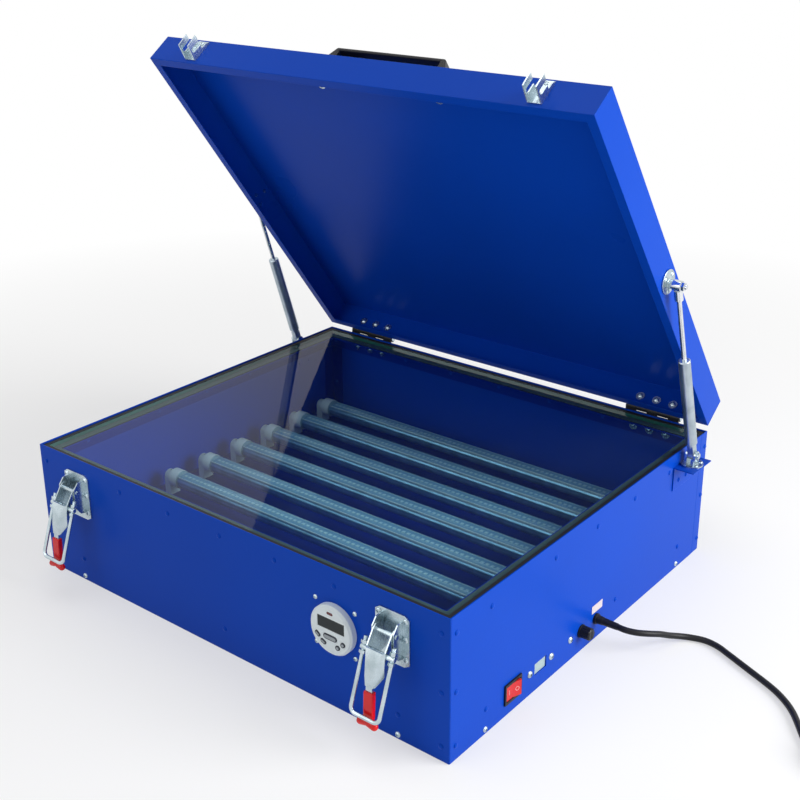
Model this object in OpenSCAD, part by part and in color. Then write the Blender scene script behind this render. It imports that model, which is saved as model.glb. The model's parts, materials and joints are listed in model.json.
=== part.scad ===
// Screen printing exposure unit, drawn as it stands open.
// The origin is the centre of the case's underside. X is the width,
// the front faces -Y and Z is up. Lengths are in millimetres.

/* [Case] */
// Outer width of the case
case_w = 660; // [600:5:760]
// Outer depth of the case
case_d = 565; // [520:5:650]
// Height of the case walls
case_h = 176; // [165:1:220]
// Thickness of the case sheet
sheet = 1.5; // [1:0.1:2]
// Width of the rear panel's folded edge, seen on both sides
rear_fold = 17; // [12:1:25]
// Height of the base tray's upturned edge
base_edge = 14; // [10:1:15]
// Leg of the corner angles
post_leg = 20; // [16:1:24]

/* [Glass] */
// Thickness of the glass plate
glass_t = 5; // [4:0.5:6]
// Distance from the outer wall to the edge of the glass
glass_border = 8; // [6:0.5:14]
// Depth of the glass surface below the top of the walls
glass_drop = 2.5; // [1:0.5:5]
// Width of the seal's lip under the glass
seal_lip = 11; // [6:1:14]
// Height of the angle that carries the glass
ledge_h = 22; // [16:1:30]
// Width of the angle that carries the glass
ledge_w = 20; // [16:1:26]

/* [Lamps] */
// Number of lamps
lamp_count = 8; // [4:1:8]
// Distance between lamps
lamp_pitch = 63.5; // [40:0.5:64]
// Radius of a lamp tube
lamp_r = 13; // [10:0.5:14]
// Wall of a lamp tube
lamp_wall = 1.2; // [0.8:0.1:2]
// Distance from the case's side to a lamp's end
lamp_end = 36; // [30:1:60]
// Height of the lamps' axes
lamp_z = 66; // [60:1:80]
// Height of the lamp deck's upper face
deck_z = 40; // [38:1:42]

/* [Lid] */
// Height of the lid's walls
lid_h = 41; // [30:1:60]
// Thickness of the lid sheet
lid_sheet = 1.2; // [1:0.1:2]
// Width of the flange turned in around the rim
rim_flange = 12; // [8:1:20]
// Gap between the closed lid and the case
lid_gap = 1; // [0.5:0.1:3]
// Angle at which the lid stands open
lid_open = 53.7; // [20:0.1:60]

/* [Lid handle] */
// Distance between the two fixing bolts of the handle
handle_pitch = 180; // [150:5:220]
// Height of the handle above the lid
handle_h = 43; // [36:1:56]
// Depth of the handle
handle_d = 42; // [30:1:48]
// Wall of the handle
handle_wall = 5; // [4:0.5:8]
// Distance from the lid's front edge to the handle's bolts
handle_in = 52; // [40:1:80]

/* [Hinges] */
// Distance from the case's side to the middle of a hinge
hinge_in = 82.5; // [60:0.5:120]
// Length of a hinge
hinge_len = 80; // [60:5:100]
// Height of a hinge leaf
leaf_h = 32; // [28:1:36]
// Thickness of a hinge leaf
leaf_t = 2; // [1.5:0.1:3]
// Outer radius of the hinge knuckles
knuckle_r = 5; // [4.5:0.1:5.6]
// Radius of the hinge pins
hinge_pin_r = 2.5; // [2:0.1:3]
// Distance between the screws of a hinge leaf
hinge_screw_pitch = 24.5; // [20:0.5:26]

/* [Gas struts] */
// Radius of a strut's cylinder
strut_r = 7.5; // [6:0.5:8]
// Length of a strut's cylinder
strut_len = 130; // [110:5:140]
// Radius of a strut's rod
rod_r = 3; // [2.5:0.5:4]
// Distance from the side wall to the struts' plane
strut_out = 12.5; // [11.5:0.5:16]
// Distance from the back of the case to a strut's foot pin
foot_back = 68; // [60:1:90]
// Depth of the foot pin below the case's top edge
foot_drop = 5; // [2:1:10]
// Distance from the back of the lid to a strut's upper stud
stud_back = 275; // [250:5:290]
// Height of the upper stud above the lid's rim
stud_up = 20; // [16:1:24]
// Radius of the round plates of the strut brackets
plate_r = 15; // [13:0.5:16]
// Length of the shelf under a strut's foot
shelf_len = 50; // [40:1:60]
// Width of the shelf under a strut's foot
shelf_w = 28; // [27:1:34]

/* [Latches] */
// Distance from the case's side to the middle of a latch
latch_in = 73; // [60:1:120]
// Height of the latch handle's pin
latch_z = 138; // [132:1:140]
// Width of a latch's base plate
latch_w = 45; // [44:1:56]
// Radius of the handle's pin
latch_pin_r = 2.5; // [2:0.1:3]
// Radius of the clasp loop's wire
loop_r = 2.4; // [2:0.1:2.6]
// Distance between the legs of the clasp loop
loop_w = 38; // [37.5:0.5:42]
// Length of the clasp loop from its bar to its pivot
loop_len = 70; // [64:1:74]
// Angle at which the clasp loop hangs away from the wall
loop_lean = 19.8; // [19.5:0.1:24]
// Width of the red grip
grip_w = 12; // [10:1:15]

/* [Timer] */
// Distance from the case's middle to the timer
timer_x = 176.5; // [140:0.5:190]
// Height of the timer's middle
timer_z = 104.5; // [95:0.5:112]
// Radius of the timer's bezel
timer_r = 30; // [29.5:0.5:34]
// Height of the bezel above the panel
timer_proud = 9; // [6:0.5:12]
// Depth of the timer's body behind the panel
timer_deep = 32; // [20:1:40]
// Travel of the timer's buttons
button_travel = 0.6; // [0.3:0.1:0.8]

/* [Right side] */
// Height of the electrical fittings on the right side
fitting_z = 28; // [26:1:30]
// Distance from the front to the middle of the switch
switch_in = 115; // [100:1:125]
// Length of the switch's bezel
switch_len = 32; // [30:0.5:36]
// Height of the switch's bezel
switch_h = 26; // [24:0.5:28]
// Distance from the front to the middle of the blanking plate
blank_in = 171.5; // [165:0.5:180]
// Distance from the front to the fuse holder
fuse_in = 259; // [250:1:262]
// Radius of the fuse cap
fuse_cap_r = 7.5; // [6.5:0.5:8]
// Distance from the front to the cord's gland
gland_in = 292.5; // [285:0.5:300]

/* [Mains cord] */
// Diameter of the mains cord
cord_dia = 7.5; // [6:0.5:8]
// Turns of the coil that puts the spare length away
coil_turns = 5.5; // [3.5:1:5.5]
// Radius of the coil's outermost turn
coil_r = 53; // [50:1:60]
// Clear gap between neighbouring turns
coil_gap = 0.6; // [0.5:0.1:1]

/* [Hidden] */
$fn = 48;

// Colours
paint_blue = [0.03, 0.20, 0.62];
zinc = [0.78, 0.80, 0.82];
black = [0.04, 0.04, 0.05];
red = [0.82, 0.05, 0.04];
pale_grey = [0.80, 0.82, 0.80];

// Clearances
eps = 0.01;
run_fit = 0.05;
slip = 0.3;

// Main planes
side_x = case_w / 2;
front_y = -case_d / 2;
rear_y = case_d / 2;
wall_x = side_x - sheet;
wall_y = rear_y - sheet;
glass_top = case_h - glass_drop;
glass_bottom = glass_top - glass_t;
lip_t = 1.5;
ledge_top = glass_bottom - lip_t;
ledge_foot = ledge_top - ledge_h;
rim_z = case_h + lid_gap;

// Hinge axis
hinge_y = rear_y + knuckle_r + 1;
hinge_z = case_h + 4;
knuckles = 5;
knuckle_len = hinge_len / knuckles;
hinge_x = side_x - hinge_in;

// Rivets and screws
rivet_r = 3.2;
rivet_h = 1.6;
shank_r = 1.6;
screw_r = 3.6;
washer_r = 6.2;
fitting_screw_r = 4.4;
rivet_row = ledge_top - 12;
front_rivet_pitch = 87.5;
corner_in = 11;
side_rivets = [-210, -86, 4, 92, 180];
low_rivet_in = 68;
low_rivets_front = [low_rivet_in - side_x, 0, side_x - low_rivet_in];
low_rivets_side = [front_y + 65.5, 57, rear_y - 62.5];
low_rivet_z = 31;
foot_screw_z = 6;
foot_screw_in = 64;

// A solid of revolution with a domed top, for rivet and screw heads
function dome(r, h) = [for (i = [0:5]) [r * cos(i * 18), h * sin(i * 18)]];

module domed(r, h) {
    rotate_extrude() polygon(concat([[0, 0]], dome(r, h)));
}

// A straight bar of round section from p to q
module bar(p, q, r) {
    d = q - p;
    translate(p)
        rotate([0, acos(d[2] / norm(d)), atan2(d[1], d[0])])
            cylinder(h = norm(d), r = r);
}

// A bar with round ends whose axis runs from the origin to [0, 0, l]
module capsule(l, r) {
    rotate_extrude() polygon(concat(
        [for (i = [-5:0]) [r * cos(i * 18), r * sin(i * 18)]],
        [for (p = dome(r, r)) [p[0], l + p[1]]]
    ));
}

// An outline in Y and Z, extruded along X about its middle
module profile_x(w) {
    translate([-w / 2, 0, 0]) rotate([90, 0, 90]) linear_extrude(w) children();
}

// A block from one corner to the other
module block(a, b) {
    translate(a) cube(b - a);
}

// Both sides alike
module both_sides() {
    children();
    mirror([1, 0, 0]) children();
}

// Turns a child drawn on a closed lid to the open position
module on_lid() {
    translate([0, hinge_y, hinge_z])
        rotate([-lid_open, 0, 0])
            translate([0, -hinge_y, -hinge_z]) children();
}

// Rivet along +Z with its seat at the origin, closed over at the far end
module rivet(grip = 2 * sheet, tail = 1) {
    far = tail > 0 ? [[0, -grip - tail], [shank_r + 0.9, -grip - tail], [shank_r + 0.9, -grip]] : [[0, -grip]];
    rotate_extrude() polygon(concat(far, [[shank_r, -grip], [shank_r, 0]], dome(rivet_r, rivet_h)));
}

// Pan head screw with a cross slot and an optional washer
module screw(r, shank, washer = 0) {
    washer_t = washer > 0 ? 1 : 0;
    head_h = 0.62 * r;
    if (washer > 0) {
        cylinder(h = washer_t, r = washer);
    }
    difference() {
        translate([0, 0, washer_t]) domed(r, head_h);
        for (turn = [0, 90]) {
            rotate([0, 0, turn])
                block([-0.55 * r, -0.12 * r, washer_t + 0.45 * head_h],
                      [0.55 * r, 0.12 * r, washer_t + head_h + 1]);
        }
    }
    translate([0, 0, -shank]) cylinder(h = shank + washer_t + eps, r = 0.5 * r, $fn = 24);
}

// Puts a fastener on the front, rear, right or left wall
module on_front(x, z) {
    translate([x, front_y, z]) rotate([90, 0, 0]) children();
}

module on_rear(x, z) {
    translate([x, rear_y, z]) rotate([-90, 0, 0]) children();
}

module on_right(y, z) {
    translate([side_x, y, z]) rotate([0, 90, 0]) children();
}

module on_left(y, z) {
    translate([-side_x, y, z]) rotate([0, -90, 0]) children();
}

// Case
fuse_y = front_y + fuse_in;
gland_y = front_y + gland_in;
switch_y = front_y + switch_in;
blank_y = front_y + blank_in;
fuse_hole_r = 6.2;
gland_hole_r = 6;
timer_hole_r = 24.3;
switch_body_len = switch_len - 4;
switch_body_h = switch_h - 4;
blank_len = 24;
blank_h = 15;

module front_panel() color(paint_blue) {
    difference() {
        block([-side_x, front_y, 0], [side_x, front_y + sheet, case_h]);
        translate([timer_x, front_y - 1, timer_z])
            rotate([-90, 0, 0]) cylinder(h = sheet + 2, r = timer_hole_r);
    }
}

module side_sheet() {
    block([wall_x, front_y + sheet, 0], [side_x, rear_y - rear_fold - slip, case_h]);
}

module left_panel() color(paint_blue) {
    mirror([1, 0, 0]) side_sheet();
}

module right_panel() color(paint_blue) {
    through = sheet + 2;
    difference() {
        side_sheet();
        translate([wall_x - 1, switch_y, fitting_z])
            cube_yz(through, switch_body_len + 2 * slip, switch_body_h + 2 * slip);
        translate([wall_x - 1, blank_y, fitting_z]) cube_yz(through, blank_len, blank_h);
        translate([wall_x - 1, fuse_y, fitting_z])
            rotate([0, 90, 0]) cylinder(h = through, r = fuse_hole_r);
        translate([wall_x - 1, gland_y, fitting_z])
            rotate([0, 90, 0]) cylinder(h = through, r = gland_hole_r);
    }
}

// A block that starts at the origin in X and is centred in Y and Z
module cube_yz(dx, dy, dz) {
    translate([0, -dy / 2, -dz / 2]) cube([dx, dy, dz]);
}

module rear_panel() color(paint_blue) {
    block([-side_x, wall_y, 0], [side_x, rear_y, case_h]);
    both_sides() block([wall_x, rear_y - rear_fold, 0], [side_x, wall_y + eps, case_h]);
}

base_t = 1.2;
edge_in = post_leg + 3;

module base_panel() color(paint_blue) {
    block([-wall_x, -wall_y, 0], [wall_x, wall_y, base_t]);
    both_sides() block([wall_x - base_t, edge_in - wall_y, 0], [wall_x, wall_y - edge_in, base_edge]);
    for (s = [-1, 1]) {
        translate([0, s * (wall_y - base_t / 2), base_edge / 2])
            cube([2 * (wall_x - edge_in), base_t, base_edge], center = true);
    }
}

module corner_posts() color(paint_blue) {
    post_h = ledge_foot - 1 - base_t;
    for (sx = [-1, 1], sy = [-1, 1]) {
        translate([0, 0, base_t]) linear_extrude(post_h)
            polygon([
                [sx * wall_x, sy * wall_y],
                [sx * (wall_x - post_leg), sy * wall_y],
                [sx * (wall_x - post_leg), sy * (wall_y - sheet)],
                [sx * (wall_x - sheet), sy * (wall_y - sheet)],
                [sx * (wall_x - sheet), sy * (wall_y - post_leg)],
                [sx * wall_x, sy * (wall_y - post_leg)]
            ]);
    }
}

// Four angles around the walls, the glass seal lies on them
module glass_ledge() color(paint_blue) {
    joint = ledge_w + slip;
    for (s = [-1, 1]) {
        long = 2 * wall_x;
        translate([-long / 2, 0, 0]) rotate([90, 0, 90]) linear_extrude(long)
            polygon([
                [s * wall_y, ledge_foot],
                [s * wall_y, ledge_top],
                [s * (wall_y - ledge_w), ledge_top],
                [s * (wall_y - ledge_w), ledge_top - sheet],
                [s * (wall_y - sheet), ledge_top - sheet],
                [s * (wall_y - sheet), ledge_foot]
            ]);
        short = 2 * (wall_y - joint);
        translate([0, short / 2, 0]) rotate([90, 0, 0]) linear_extrude(short)
            polygon([
                [s * wall_x, ledge_foot],
                [s * wall_x, ledge_top],
                [s * (wall_x - ledge_w), ledge_top],
                [s * (wall_x - ledge_w), ledge_top - sheet],
                [s * (wall_x - sheet), ledge_top - sheet],
                [s * (wall_x - sheet), ledge_foot]
            ]);
    }
}

glass_x = side_x - glass_border;
glass_y = rear_y - glass_border;

module centred_plate(x, y, z0, z1) {
    block([-x, -y, z0], [x, y, z1]);
}

module glass_seal() color(black) {
    difference() {
        centred_plate(wall_x - 0.2, wall_y - 0.2, ledge_top, glass_top + 0.5);
        centred_plate(glass_x + 0.1, glass_y + 0.1, glass_bottom, glass_top + 1);
        centred_plate(glass_x - seal_lip, glass_y - seal_lip, ledge_top - 1, glass_top);
    }
}

module glass_plate() color([0.55, 0.75, 0.75, 0.35]) {
    centred_plate(glass_x, glass_y, glass_bottom, glass_top);
}

tab_w = 30;
deck_t = 1.2;

// The deck is cut away beside the fittings on the right side
module lamp_deck() color(paint_blue) {
    tab_z = low_rivet_z - 7;
    difference() {
        union() {
            centred_plate(wall_x - post_leg - 1, wall_y - 0.1, deck_z - deck_t, deck_z);
            centred_plate(wall_x - 0.1, wall_y - post_leg - 1, deck_z - deck_t, deck_z);
        }
        block([wall_x - 24, switch_y - 22, deck_z - 5], [side_x, gland_y + 22, deck_z + 5]);
    }
    for (x = low_rivets_front, s = [-1, 1]) {
        translate([x, s * (wall_y - 0.1 - deck_t / 2), (tab_z + deck_z) / 2])
            cube([tab_w, deck_t, deck_z - tab_z], center = true);
    }
    for (y = low_rivets_side, s = [-1, 1]) {
        translate([s * (wall_x - 0.1 - deck_t / 2), y, (tab_z + deck_z) / 2])
            cube([deck_t, tab_w, deck_z - tab_z], center = true);
    }
}

module case_rivets() color(paint_blue) {
    front_row = [for (i = [-2:2]) i * front_rivet_pitch];
    column = [rivet_row, case_h / 2 - 4, 18];
    for (x = front_row) {
        on_front(x, rivet_row) rivet();
        on_rear(x, rivet_row) rivet();
    }
    for (x = low_rivets_front) {
        on_front(x, low_rivet_z) rivet();
        on_rear(x, low_rivet_z) rivet();
    }
    for (z = column, s = [-1, 1]) {
        on_front(s * (side_x - corner_in), z) rivet();
        on_rear(s * (side_x - corner_in), z) rivet();
    }
    for (y = side_rivets) {
        on_right(y, rivet_row) rivet();
        on_left(y, rivet_row) rivet();
    }
    for (y = low_rivets_side) {
        on_right(y, low_rivet_z) rivet();
        on_left(y, low_rivet_z) rivet();
    }
    for (z = column) {
        on_right(front_y + corner_in, z) rivet();
        on_left(front_y + corner_in, z) rivet();
        on_right(rear_y - rear_fold / 4, z) rivet(tail = 0);
        on_left(rear_y - rear_fold / 4, z) rivet(tail = 0);
    }
    for (s = [-1, 1]) {
        on_shelf(s) rivet();
    }
}

// Lamps
function lamp_y(i) = (i - (lamp_count - 1) / 2) * lamp_pitch;
lamp_len = case_w - 2 * lamp_end;
cap_len = 16;

module along_x(len) {
    translate([-len / 2, 0, 0]) rotate([0, 90, 0]) children();
}

module lamp_tubes() color([0.8, 0.85, 0.86, 0.6]) {
    inner = lamp_len - 2 * cap_len;
    for (i = [0:lamp_count - 1]) {
        translate([0, lamp_y(i), lamp_z]) along_x(inner) difference() {
            cylinder(h = inner, r = lamp_r);
            translate([0, 0, -1]) cylinder(h = inner + 2, r = lamp_r - lamp_wall);
        }
    }
}

module lamp_caps() color([0.93, 0.93, 0.90]) {
    for (i = [0:lamp_count - 1]) {
        translate([0, lamp_y(i), lamp_z]) both_sides() {
            translate([lamp_len / 2 - cap_len, 0, 0]) rotate([0, 90, 0]) {
                cylinder(h = cap_len - 1, r = lamp_r + 0.3);
                translate([0, 0, cap_len - 1 - eps]) cylinder(h = 1, r = lamp_r - 1);
                for (s = [-1, 1]) {
                    translate([s * 6.35, 0, cap_len - eps]) cylinder(h = 7, r = 1.2, $fn = 24);
                }
            }
        }
    }
}

module led_strips() color([0.92, 0.92, 0.86]) {
    strip_len = lamp_len - 2 * cap_len - 4;
    strip_w = 2 * sqrt(pow(lamp_r - lamp_wall, 2) - 3.5 * 3.5) - 0.2;
    led_pitch = strip_len / 36;
    for (i = [0:lamp_count - 1]) {
        translate([0, lamp_y(i), lamp_z]) {
            translate([0, 0, -2]) cube([strip_len, strip_w, 3], center = true);
            for (k = [-17.5:17.5]) {
                translate([k * led_pitch, 0, 0]) cube([3.5, 2.8, 1.6], center = true);
            }
        }
    }
}

module lamp_holders() color([0.95, 0.95, 0.93]) {
    holder_t = 11;
    holder_w = lamp_r + 5;
    for (i = [0:lamp_count - 1]) {
        translate([0, lamp_y(i), 0]) both_sides() {
            difference() {
                translate([lamp_len / 2 + 0.2, 0, 0]) union() {
                    block([0, -holder_w / 2, deck_z], [holder_t, holder_w / 2, lamp_z]);
                    translate([0, 0, lamp_z]) rotate([0, 90, 0]) cylinder(h = holder_t, r = holder_w / 2);
                }
                translate([lamp_len / 2, -1.5, lamp_z - 9]) cube([9, 3, 40]);
            }
        }
    }
}

// Electrics below the deck
driver_size = [190, 62, 30];
driver_at = [80 - side_x, 100, base_t];
driver_end = driver_at[0] + driver_size[0] + 1.4;

module power_driver() color(zinc) {
    translate(driver_at) difference() {
        cube(driver_size);
        for (i = [1:9]) {
            translate([20 + i * 14, -1, 26]) cube([6, driver_size[1] + 2, 5]);
        }
    }
}

block_size = [22, 60, 18];
block_at = [side_x - 140, 20, base_t];
block_right = block_at[0] + block_size[0] + 1.6;
block_left = block_at[0] - 1.6;

module terminal_block() color([0.9, 0.9, 0.86]) {
    translate(block_at) difference() {
        cube(block_size);
        for (i = [0:4]) {
            translate([5.5, 7 + i * 11.5, 8]) cylinder(h = 11, r = 2.2, $fn = 24);
            translate([16.5, 7 + i * 11.5, 8]) cylinder(h = 11, r = 2.2, $fn = 24);
        }
    }
}

module wire(points) {
    n = len(points);
    swept(points, [for (i = [0:n - 1]) flow(points, i)], 1.3, 6);
}

module wiring() color([0.75, 0.15, 0.1]) {
    back = side_x - 24.3;
    low_z = 8;
    wire([
        [back, switch_y - 6, fitting_z], [side_x - 50, switch_y, 12],
        [side_x - 100, block_at[1] - 80, low_z], [block_right, block_at[1] + 7, 12]
    ]);
    wire([
        [back, switch_y + 6, fitting_z], [side_x - 40, switch_y + 48, 10],
        [side_x - 45, fuse_y - 36.5, 10], [side_x - 28.4, fuse_y, 25]
    ]);
    wire([
        [side_x - 12.4, gland_y, fitting_z], [side_x - 60, gland_y + 10, 12],
        [side_x - 90, gland_y + 34, 9], [block_right, block_at[1] + 30, 12]
    ]);
    wire([
        [block_left, block_at[1] + 30, 12], [side_x - 210, 70, low_z],
        [0, 110, low_z], [driver_end, driver_at[1] + 30, 15]
    ]);
    wire([
        [block_left, block_at[1] + 42, 12], [side_x - 190, 90, 6],
        [10, 125, 6], [driver_end, driver_at[1] + 42, 15]
    ]);
}

// Timer, drawn with its face towards +Z and its seat at the origin
module on_timer() {
    translate([timer_x, front_y, timer_z]) rotate([90, 0, 0]) children();
}

// A flat stadium shape: length along X, rounded ends
module stadium(l, w, grow = 0) {
    square([l - w, w + 2 * grow], center = true);
    for (s = [-1, 1]) {
        translate([s * (l - w) / 2, 0]) circle(w / 2 + grow, $fn = 32);
    }
}

// Place and size of each button: x, y, length, width, turn
buttons = [
    [-18, -9.5, 8, 4.6, -38],
    [-10, -16.5, 8, 4.6, -24],
    [0, -8, 19, 6.4, 0],
    [10.5, -17, 6.4, 5.6, 24],
    [18, -10.5, 6.4, 5.6, 38]
];
lcd_at = [1, 8];
lcd_size = [38, 14];
lamp_at = [0, 21.5];

module button_shape(i, grow = 0) {
    b = buttons[i];
    translate([b[0], b[1]]) rotate(b[4]) stadium(b[2], b[3], grow);
}

module timer_body() color(pale_grey) {
    bevel = 2.4;
    on_timer() difference() {
        union() {
            cylinder(h = timer_proud - bevel, r = timer_r);
            translate([0, 0, timer_proud - bevel - eps])
                cylinder(h = bevel + eps, r1 = timer_r, r2 = timer_r - bevel);
            translate([0, 0, -timer_deep]) cylinder(h = timer_deep + eps, r = timer_hole_r - slip);
        }
        translate([lcd_at[0] - lcd_size[0] / 2 - 0.1, lcd_at[1] - lcd_size[1] / 2 - 0.1, timer_proud - 1.6])
            cube([lcd_size[0] + 0.2, lcd_size[1] + 0.2, 3]);
        translate([lamp_at[0], lamp_at[1], timer_proud - 1.6]) linear_extrude(3) stadium(8.6, 3.4, 0.1);
        for (i = [0:4]) {
            translate([0, 0, timer_proud - 3.5]) linear_extrude(5) button_shape(i, 0.32);
        }
    }
}

module timer_display() color([0.10, 0.13, 0.12]) {
    on_timer() translate([lcd_at[0], lcd_at[1], timer_proud - 0.9])
        cube([lcd_size[0], lcd_size[1], 1.2], center = true);
}

module timer_lamp() color([0.25, 0.02, 0.04]) {
    on_timer() translate([lamp_at[0], lamp_at[1], timer_proud - 1.5]) linear_extrude(1.7) stadium(8.6, 3.4);
}

module timer_button(i) color([0.62, 0.64, 0.66]) {
    on_timer() translate([0, 0, timer_proud - 3.5 + 0.2 + button_travel])
        linear_extrude(4.1 - button_travel) button_shape(i);
}

// Right side fittings, drawn with +X out of the wall and the seat at the origin
module on_side(y) {
    translate([side_x, y, fitting_z]) children();
}

bezel_t = 2.2;
switch_wall = 1.2;
paddle_gap = 0.3;
pivot_in = 6;
stub_r = 1.5;

module rocker_frame() color(black) {
    inner_l = switch_len - 4 - 2 * switch_wall + 1.8;
    inner_h = switch_body_h - 2 * switch_wall;
    depth = 24;
    on_side(switch_y) difference() {
        union() {
            cube_yz(bezel_t, switch_len, switch_h);
            translate([-depth, 0, 0]) cube_yz(depth + eps, switch_body_len, switch_body_h);
        }
        translate([switch_wall - depth, 0, 0]) cube_yz(depth + bezel_t, inner_l, inner_h);
        translate([bezel_t - pivot_in, 0, -switch_h]) cylinder(h = 2 * switch_h, r = stub_r + run_fit, $fn = 24);
    }
}

// The rocker stands with its rear end proud and its front end pressed in
module rocker_paddle() color(red) {
    reach = switch_body_len / 2 - 1;
    paddle_h = switch_body_h - 2 * switch_wall - 2 * paddle_gap;
    on_side(switch_y) translate([bezel_t - pivot_in, 0, 0]) rotate([0, 0, -10]) {
        translate([0, 0, -paddle_h / 2]) linear_extrude(paddle_h)
            polygon([
                [2.5, -reach], [7, 1 - reach], [5.2, 0], [7, reach - 1],
                [2.5, reach], [-2.5, 4], [-2.5, -4]
            ]);
        cylinder(h = paddle_h + 2 * switch_wall, r = stub_r, center = true, $fn = 24);
    }
}

inlet_screw_pitch = 44;

module blanking_plate() color([0.72, 0.75, 0.74]) {
    translate([wall_x - 1.5, blank_y, fitting_z]) cube_yz(1.5, inlet_screw_pitch + 8, blank_h + 5);
}

module fuse_holder() color(black) {
    on_side(fuse_y) rotate([0, 90, 0]) difference() {
        union() {
            cylinder(h = 2, r = fuse_cap_r + 0.8);
            translate([0, 0, -28]) cylinder(h = 28 + eps, r = fuse_hole_r - slip);
            translate([0, 0, -sheet - 4]) cylinder(h = 4, r = 9.5, $fn = 6);
        }
        translate([0, 0, -24]) cylinder(h = 30, r = 4 + run_fit);
    }
}

module fuse_cap() color(black) {
    on_side(fuse_y) rotate([0, 90, 0]) difference() {
        union() {
            translate([0, 0, 2.3]) cylinder(h = 11.2, r = fuse_cap_r);
            translate([0, 0, 13.5 - eps]) cylinder(h = 1.5, r1 = fuse_cap_r, r2 = fuse_cap_r - 1.5);
            translate([0, 0, -18]) cylinder(h = 21, r = 4);
        }
        for (turn = [0:30:330]) {
            rotate([0, 0, turn]) translate([fuse_cap_r + 0.4, 0, 4]) cylinder(h = 12, r = 0.9, $fn = 16);
        }
        translate([-5, -0.6, 13.6]) cube([10, 1.2, 4]);
    }
}

gland_len = 30;

module cord_gland() color(black) {
    on_side(gland_y) rotate([0, 90, 0]) {
        cylinder(h = 3, r = 6.8);
        translate([0, 0, -12]) cylinder(h = 12 + eps, r = gland_hole_r - slip);
        translate([0, 0, -sheet - 4]) cylinder(h = 4, r = 9, $fn = 6);
        translate([0, 0, 3 - eps]) cylinder(h = 8, r1 = 5.5, r2 = 5);
        translate([0, 0, 11 - 2 * eps]) cylinder(h = gland_len - 11 + 2 * eps, r1 = 4.7, r2 = cord_dia / 2 + 0.4);
    }
}

module label_plate() color([0.93, 0.93, 0.92]) {
    on_side(gland_y + 2) translate([0, 0, 15]) cube_yz(0.4, 24, 10.5);
}

// Mains cord. The route is in millimetres, from the gland to the coil.
cord_r = cord_dia / 2;
floor_z = cord_r + 0.05;
coil_at = [666, -14];
coil_start = 217;
lead = cord_dia;
exit_point = [side_x + gland_len, gland_y, fitting_z];
heading_in = [-sin(coil_start), cos(coil_start), 0];
coil_entry = [coil_at[0] + coil_r * cos(coil_start), coil_at[1] + coil_r * sin(coil_start), floor_z];
route = [
    exit_point, [372, 10, 28], [384, 15, 27], [394, 26, 24], [401, 40, 19], [406, 54, 12],
    [413, 67, 7], [424, 77, 4.2], [440, 82, floor_z], [457, 80, floor_z],
    [474, 73, floor_z], [492, 65, floor_z], [510, 57, floor_z], [528, 49, floor_z],
    [546, 40, floor_z], [562, 29, floor_z], [576, 16, floor_z], [588, 1, floor_z],
    [599, -14, floor_z], [610, -28, floor_z], coil_entry - lead * heading_in
];

function unit(v) = v / norm(v);
function flow(p, i) = unit(p[min(i + 1, len(p) - 1)] - p[max(i - 1, 0)]);
function ring(c, d, r, sides, up) =
    let (a = unit(cross(up, d)), b = cross(d, a))
    [for (k = [0:sides - 1]) c + r * (cos(360 * k / sides) * a + sin(360 * k / sides) * b)];

// One closed tube whose first and last faces are square to the given headings
module swept(points, heads, r, sides, up = [0, 0, 1]) {
    n = len(points);
    rings = [for (i = [0:n - 1]) each ring(points[i], heads[i], r, sides, up)];
    walls = [for (i = [0:n - 2], k = [0:sides - 1], half = [0, 1])
        let (a = i * sides + k, b = i * sides + (k + 1) % sides)
        half == 0 ? [a, a + sides, b] : [b, a + sides, b + sides]];
    first = [for (k = [1:sides - 2]) [0, k, k + 1]];
    base = (n - 1) * sides;
    last = [for (k = [1:sides - 2]) [base, base + k + 1, base + k]];
    polyhedron(points = rings, faces = concat(walls, first, last), convexity = 10);
}

module cord() color(black) {
    n = len(route);
    heads = [for (i = [0:n - 1]) i == 0 ? [1, 0, 0] : i == n - 1 ? heading_in : flow(route, i)];
    swept(route, heads, cord_r, 10);
}

// The coil winds in on the floor, climbs while it turns back, and winds out on top
coil_pitch = cord_dia + coil_gap;
rings_per_turn = 24;
function coil_radius(t) = coil_r - coil_pitch * min(t, coil_turns - t);
function climb(t) = max(0, min(1, (t - coil_turns / 2 + 0.25) / 0.5));
function coil_point(t) =
    let (a = coil_start + 360 * t)
    [coil_at[0] + coil_radius(t) * cos(a), coil_at[1] + coil_radius(t) * sin(a),
     floor_z + coil_pitch * climb(t)];
coil_end = coil_start + 360 * coil_turns;
heading_out = [-sin(coil_end), cos(coil_end), 0];
coil_exit = coil_point(coil_turns) + lead * heading_out;
coil_path = concat(
    [coil_entry - lead * heading_in],
    [for (i = [0:coil_turns * rings_per_turn]) coil_point(i / rings_per_turn)],
    [coil_exit]
);

module cord_coil() color(black) {
    n = len(coil_path);
    heads = [for (i = [0:n - 1])
        i < 2 ? heading_in : i > n - 3 ? heading_out : flow(coil_path, i)];
    swept(coil_path, heads, cord_r, 6);
}

// Least clear gap between turns, measured on the path's points
own_gap = min([for (i = [0:len(coil_path) - 1], j = [i + 12:len(coil_path) - 1])
    norm(coil_path[i] - coil_path[j]) - cord_dia]);
echo(coil_gap_to_itself = own_gap);
cord_length = [for (i = [0:len(route) - 2]) norm(route[i + 1] - route[i])];
coil_length = [for (i = [0:len(coil_path) - 2]) norm(coil_path[i + 1] - coil_path[i])];
function total(v, i = 0) = i < len(v) ? v[i] + total(v, i + 1) : 0;
echo(lead_length = total(cord_length) + total(coil_length));

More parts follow.
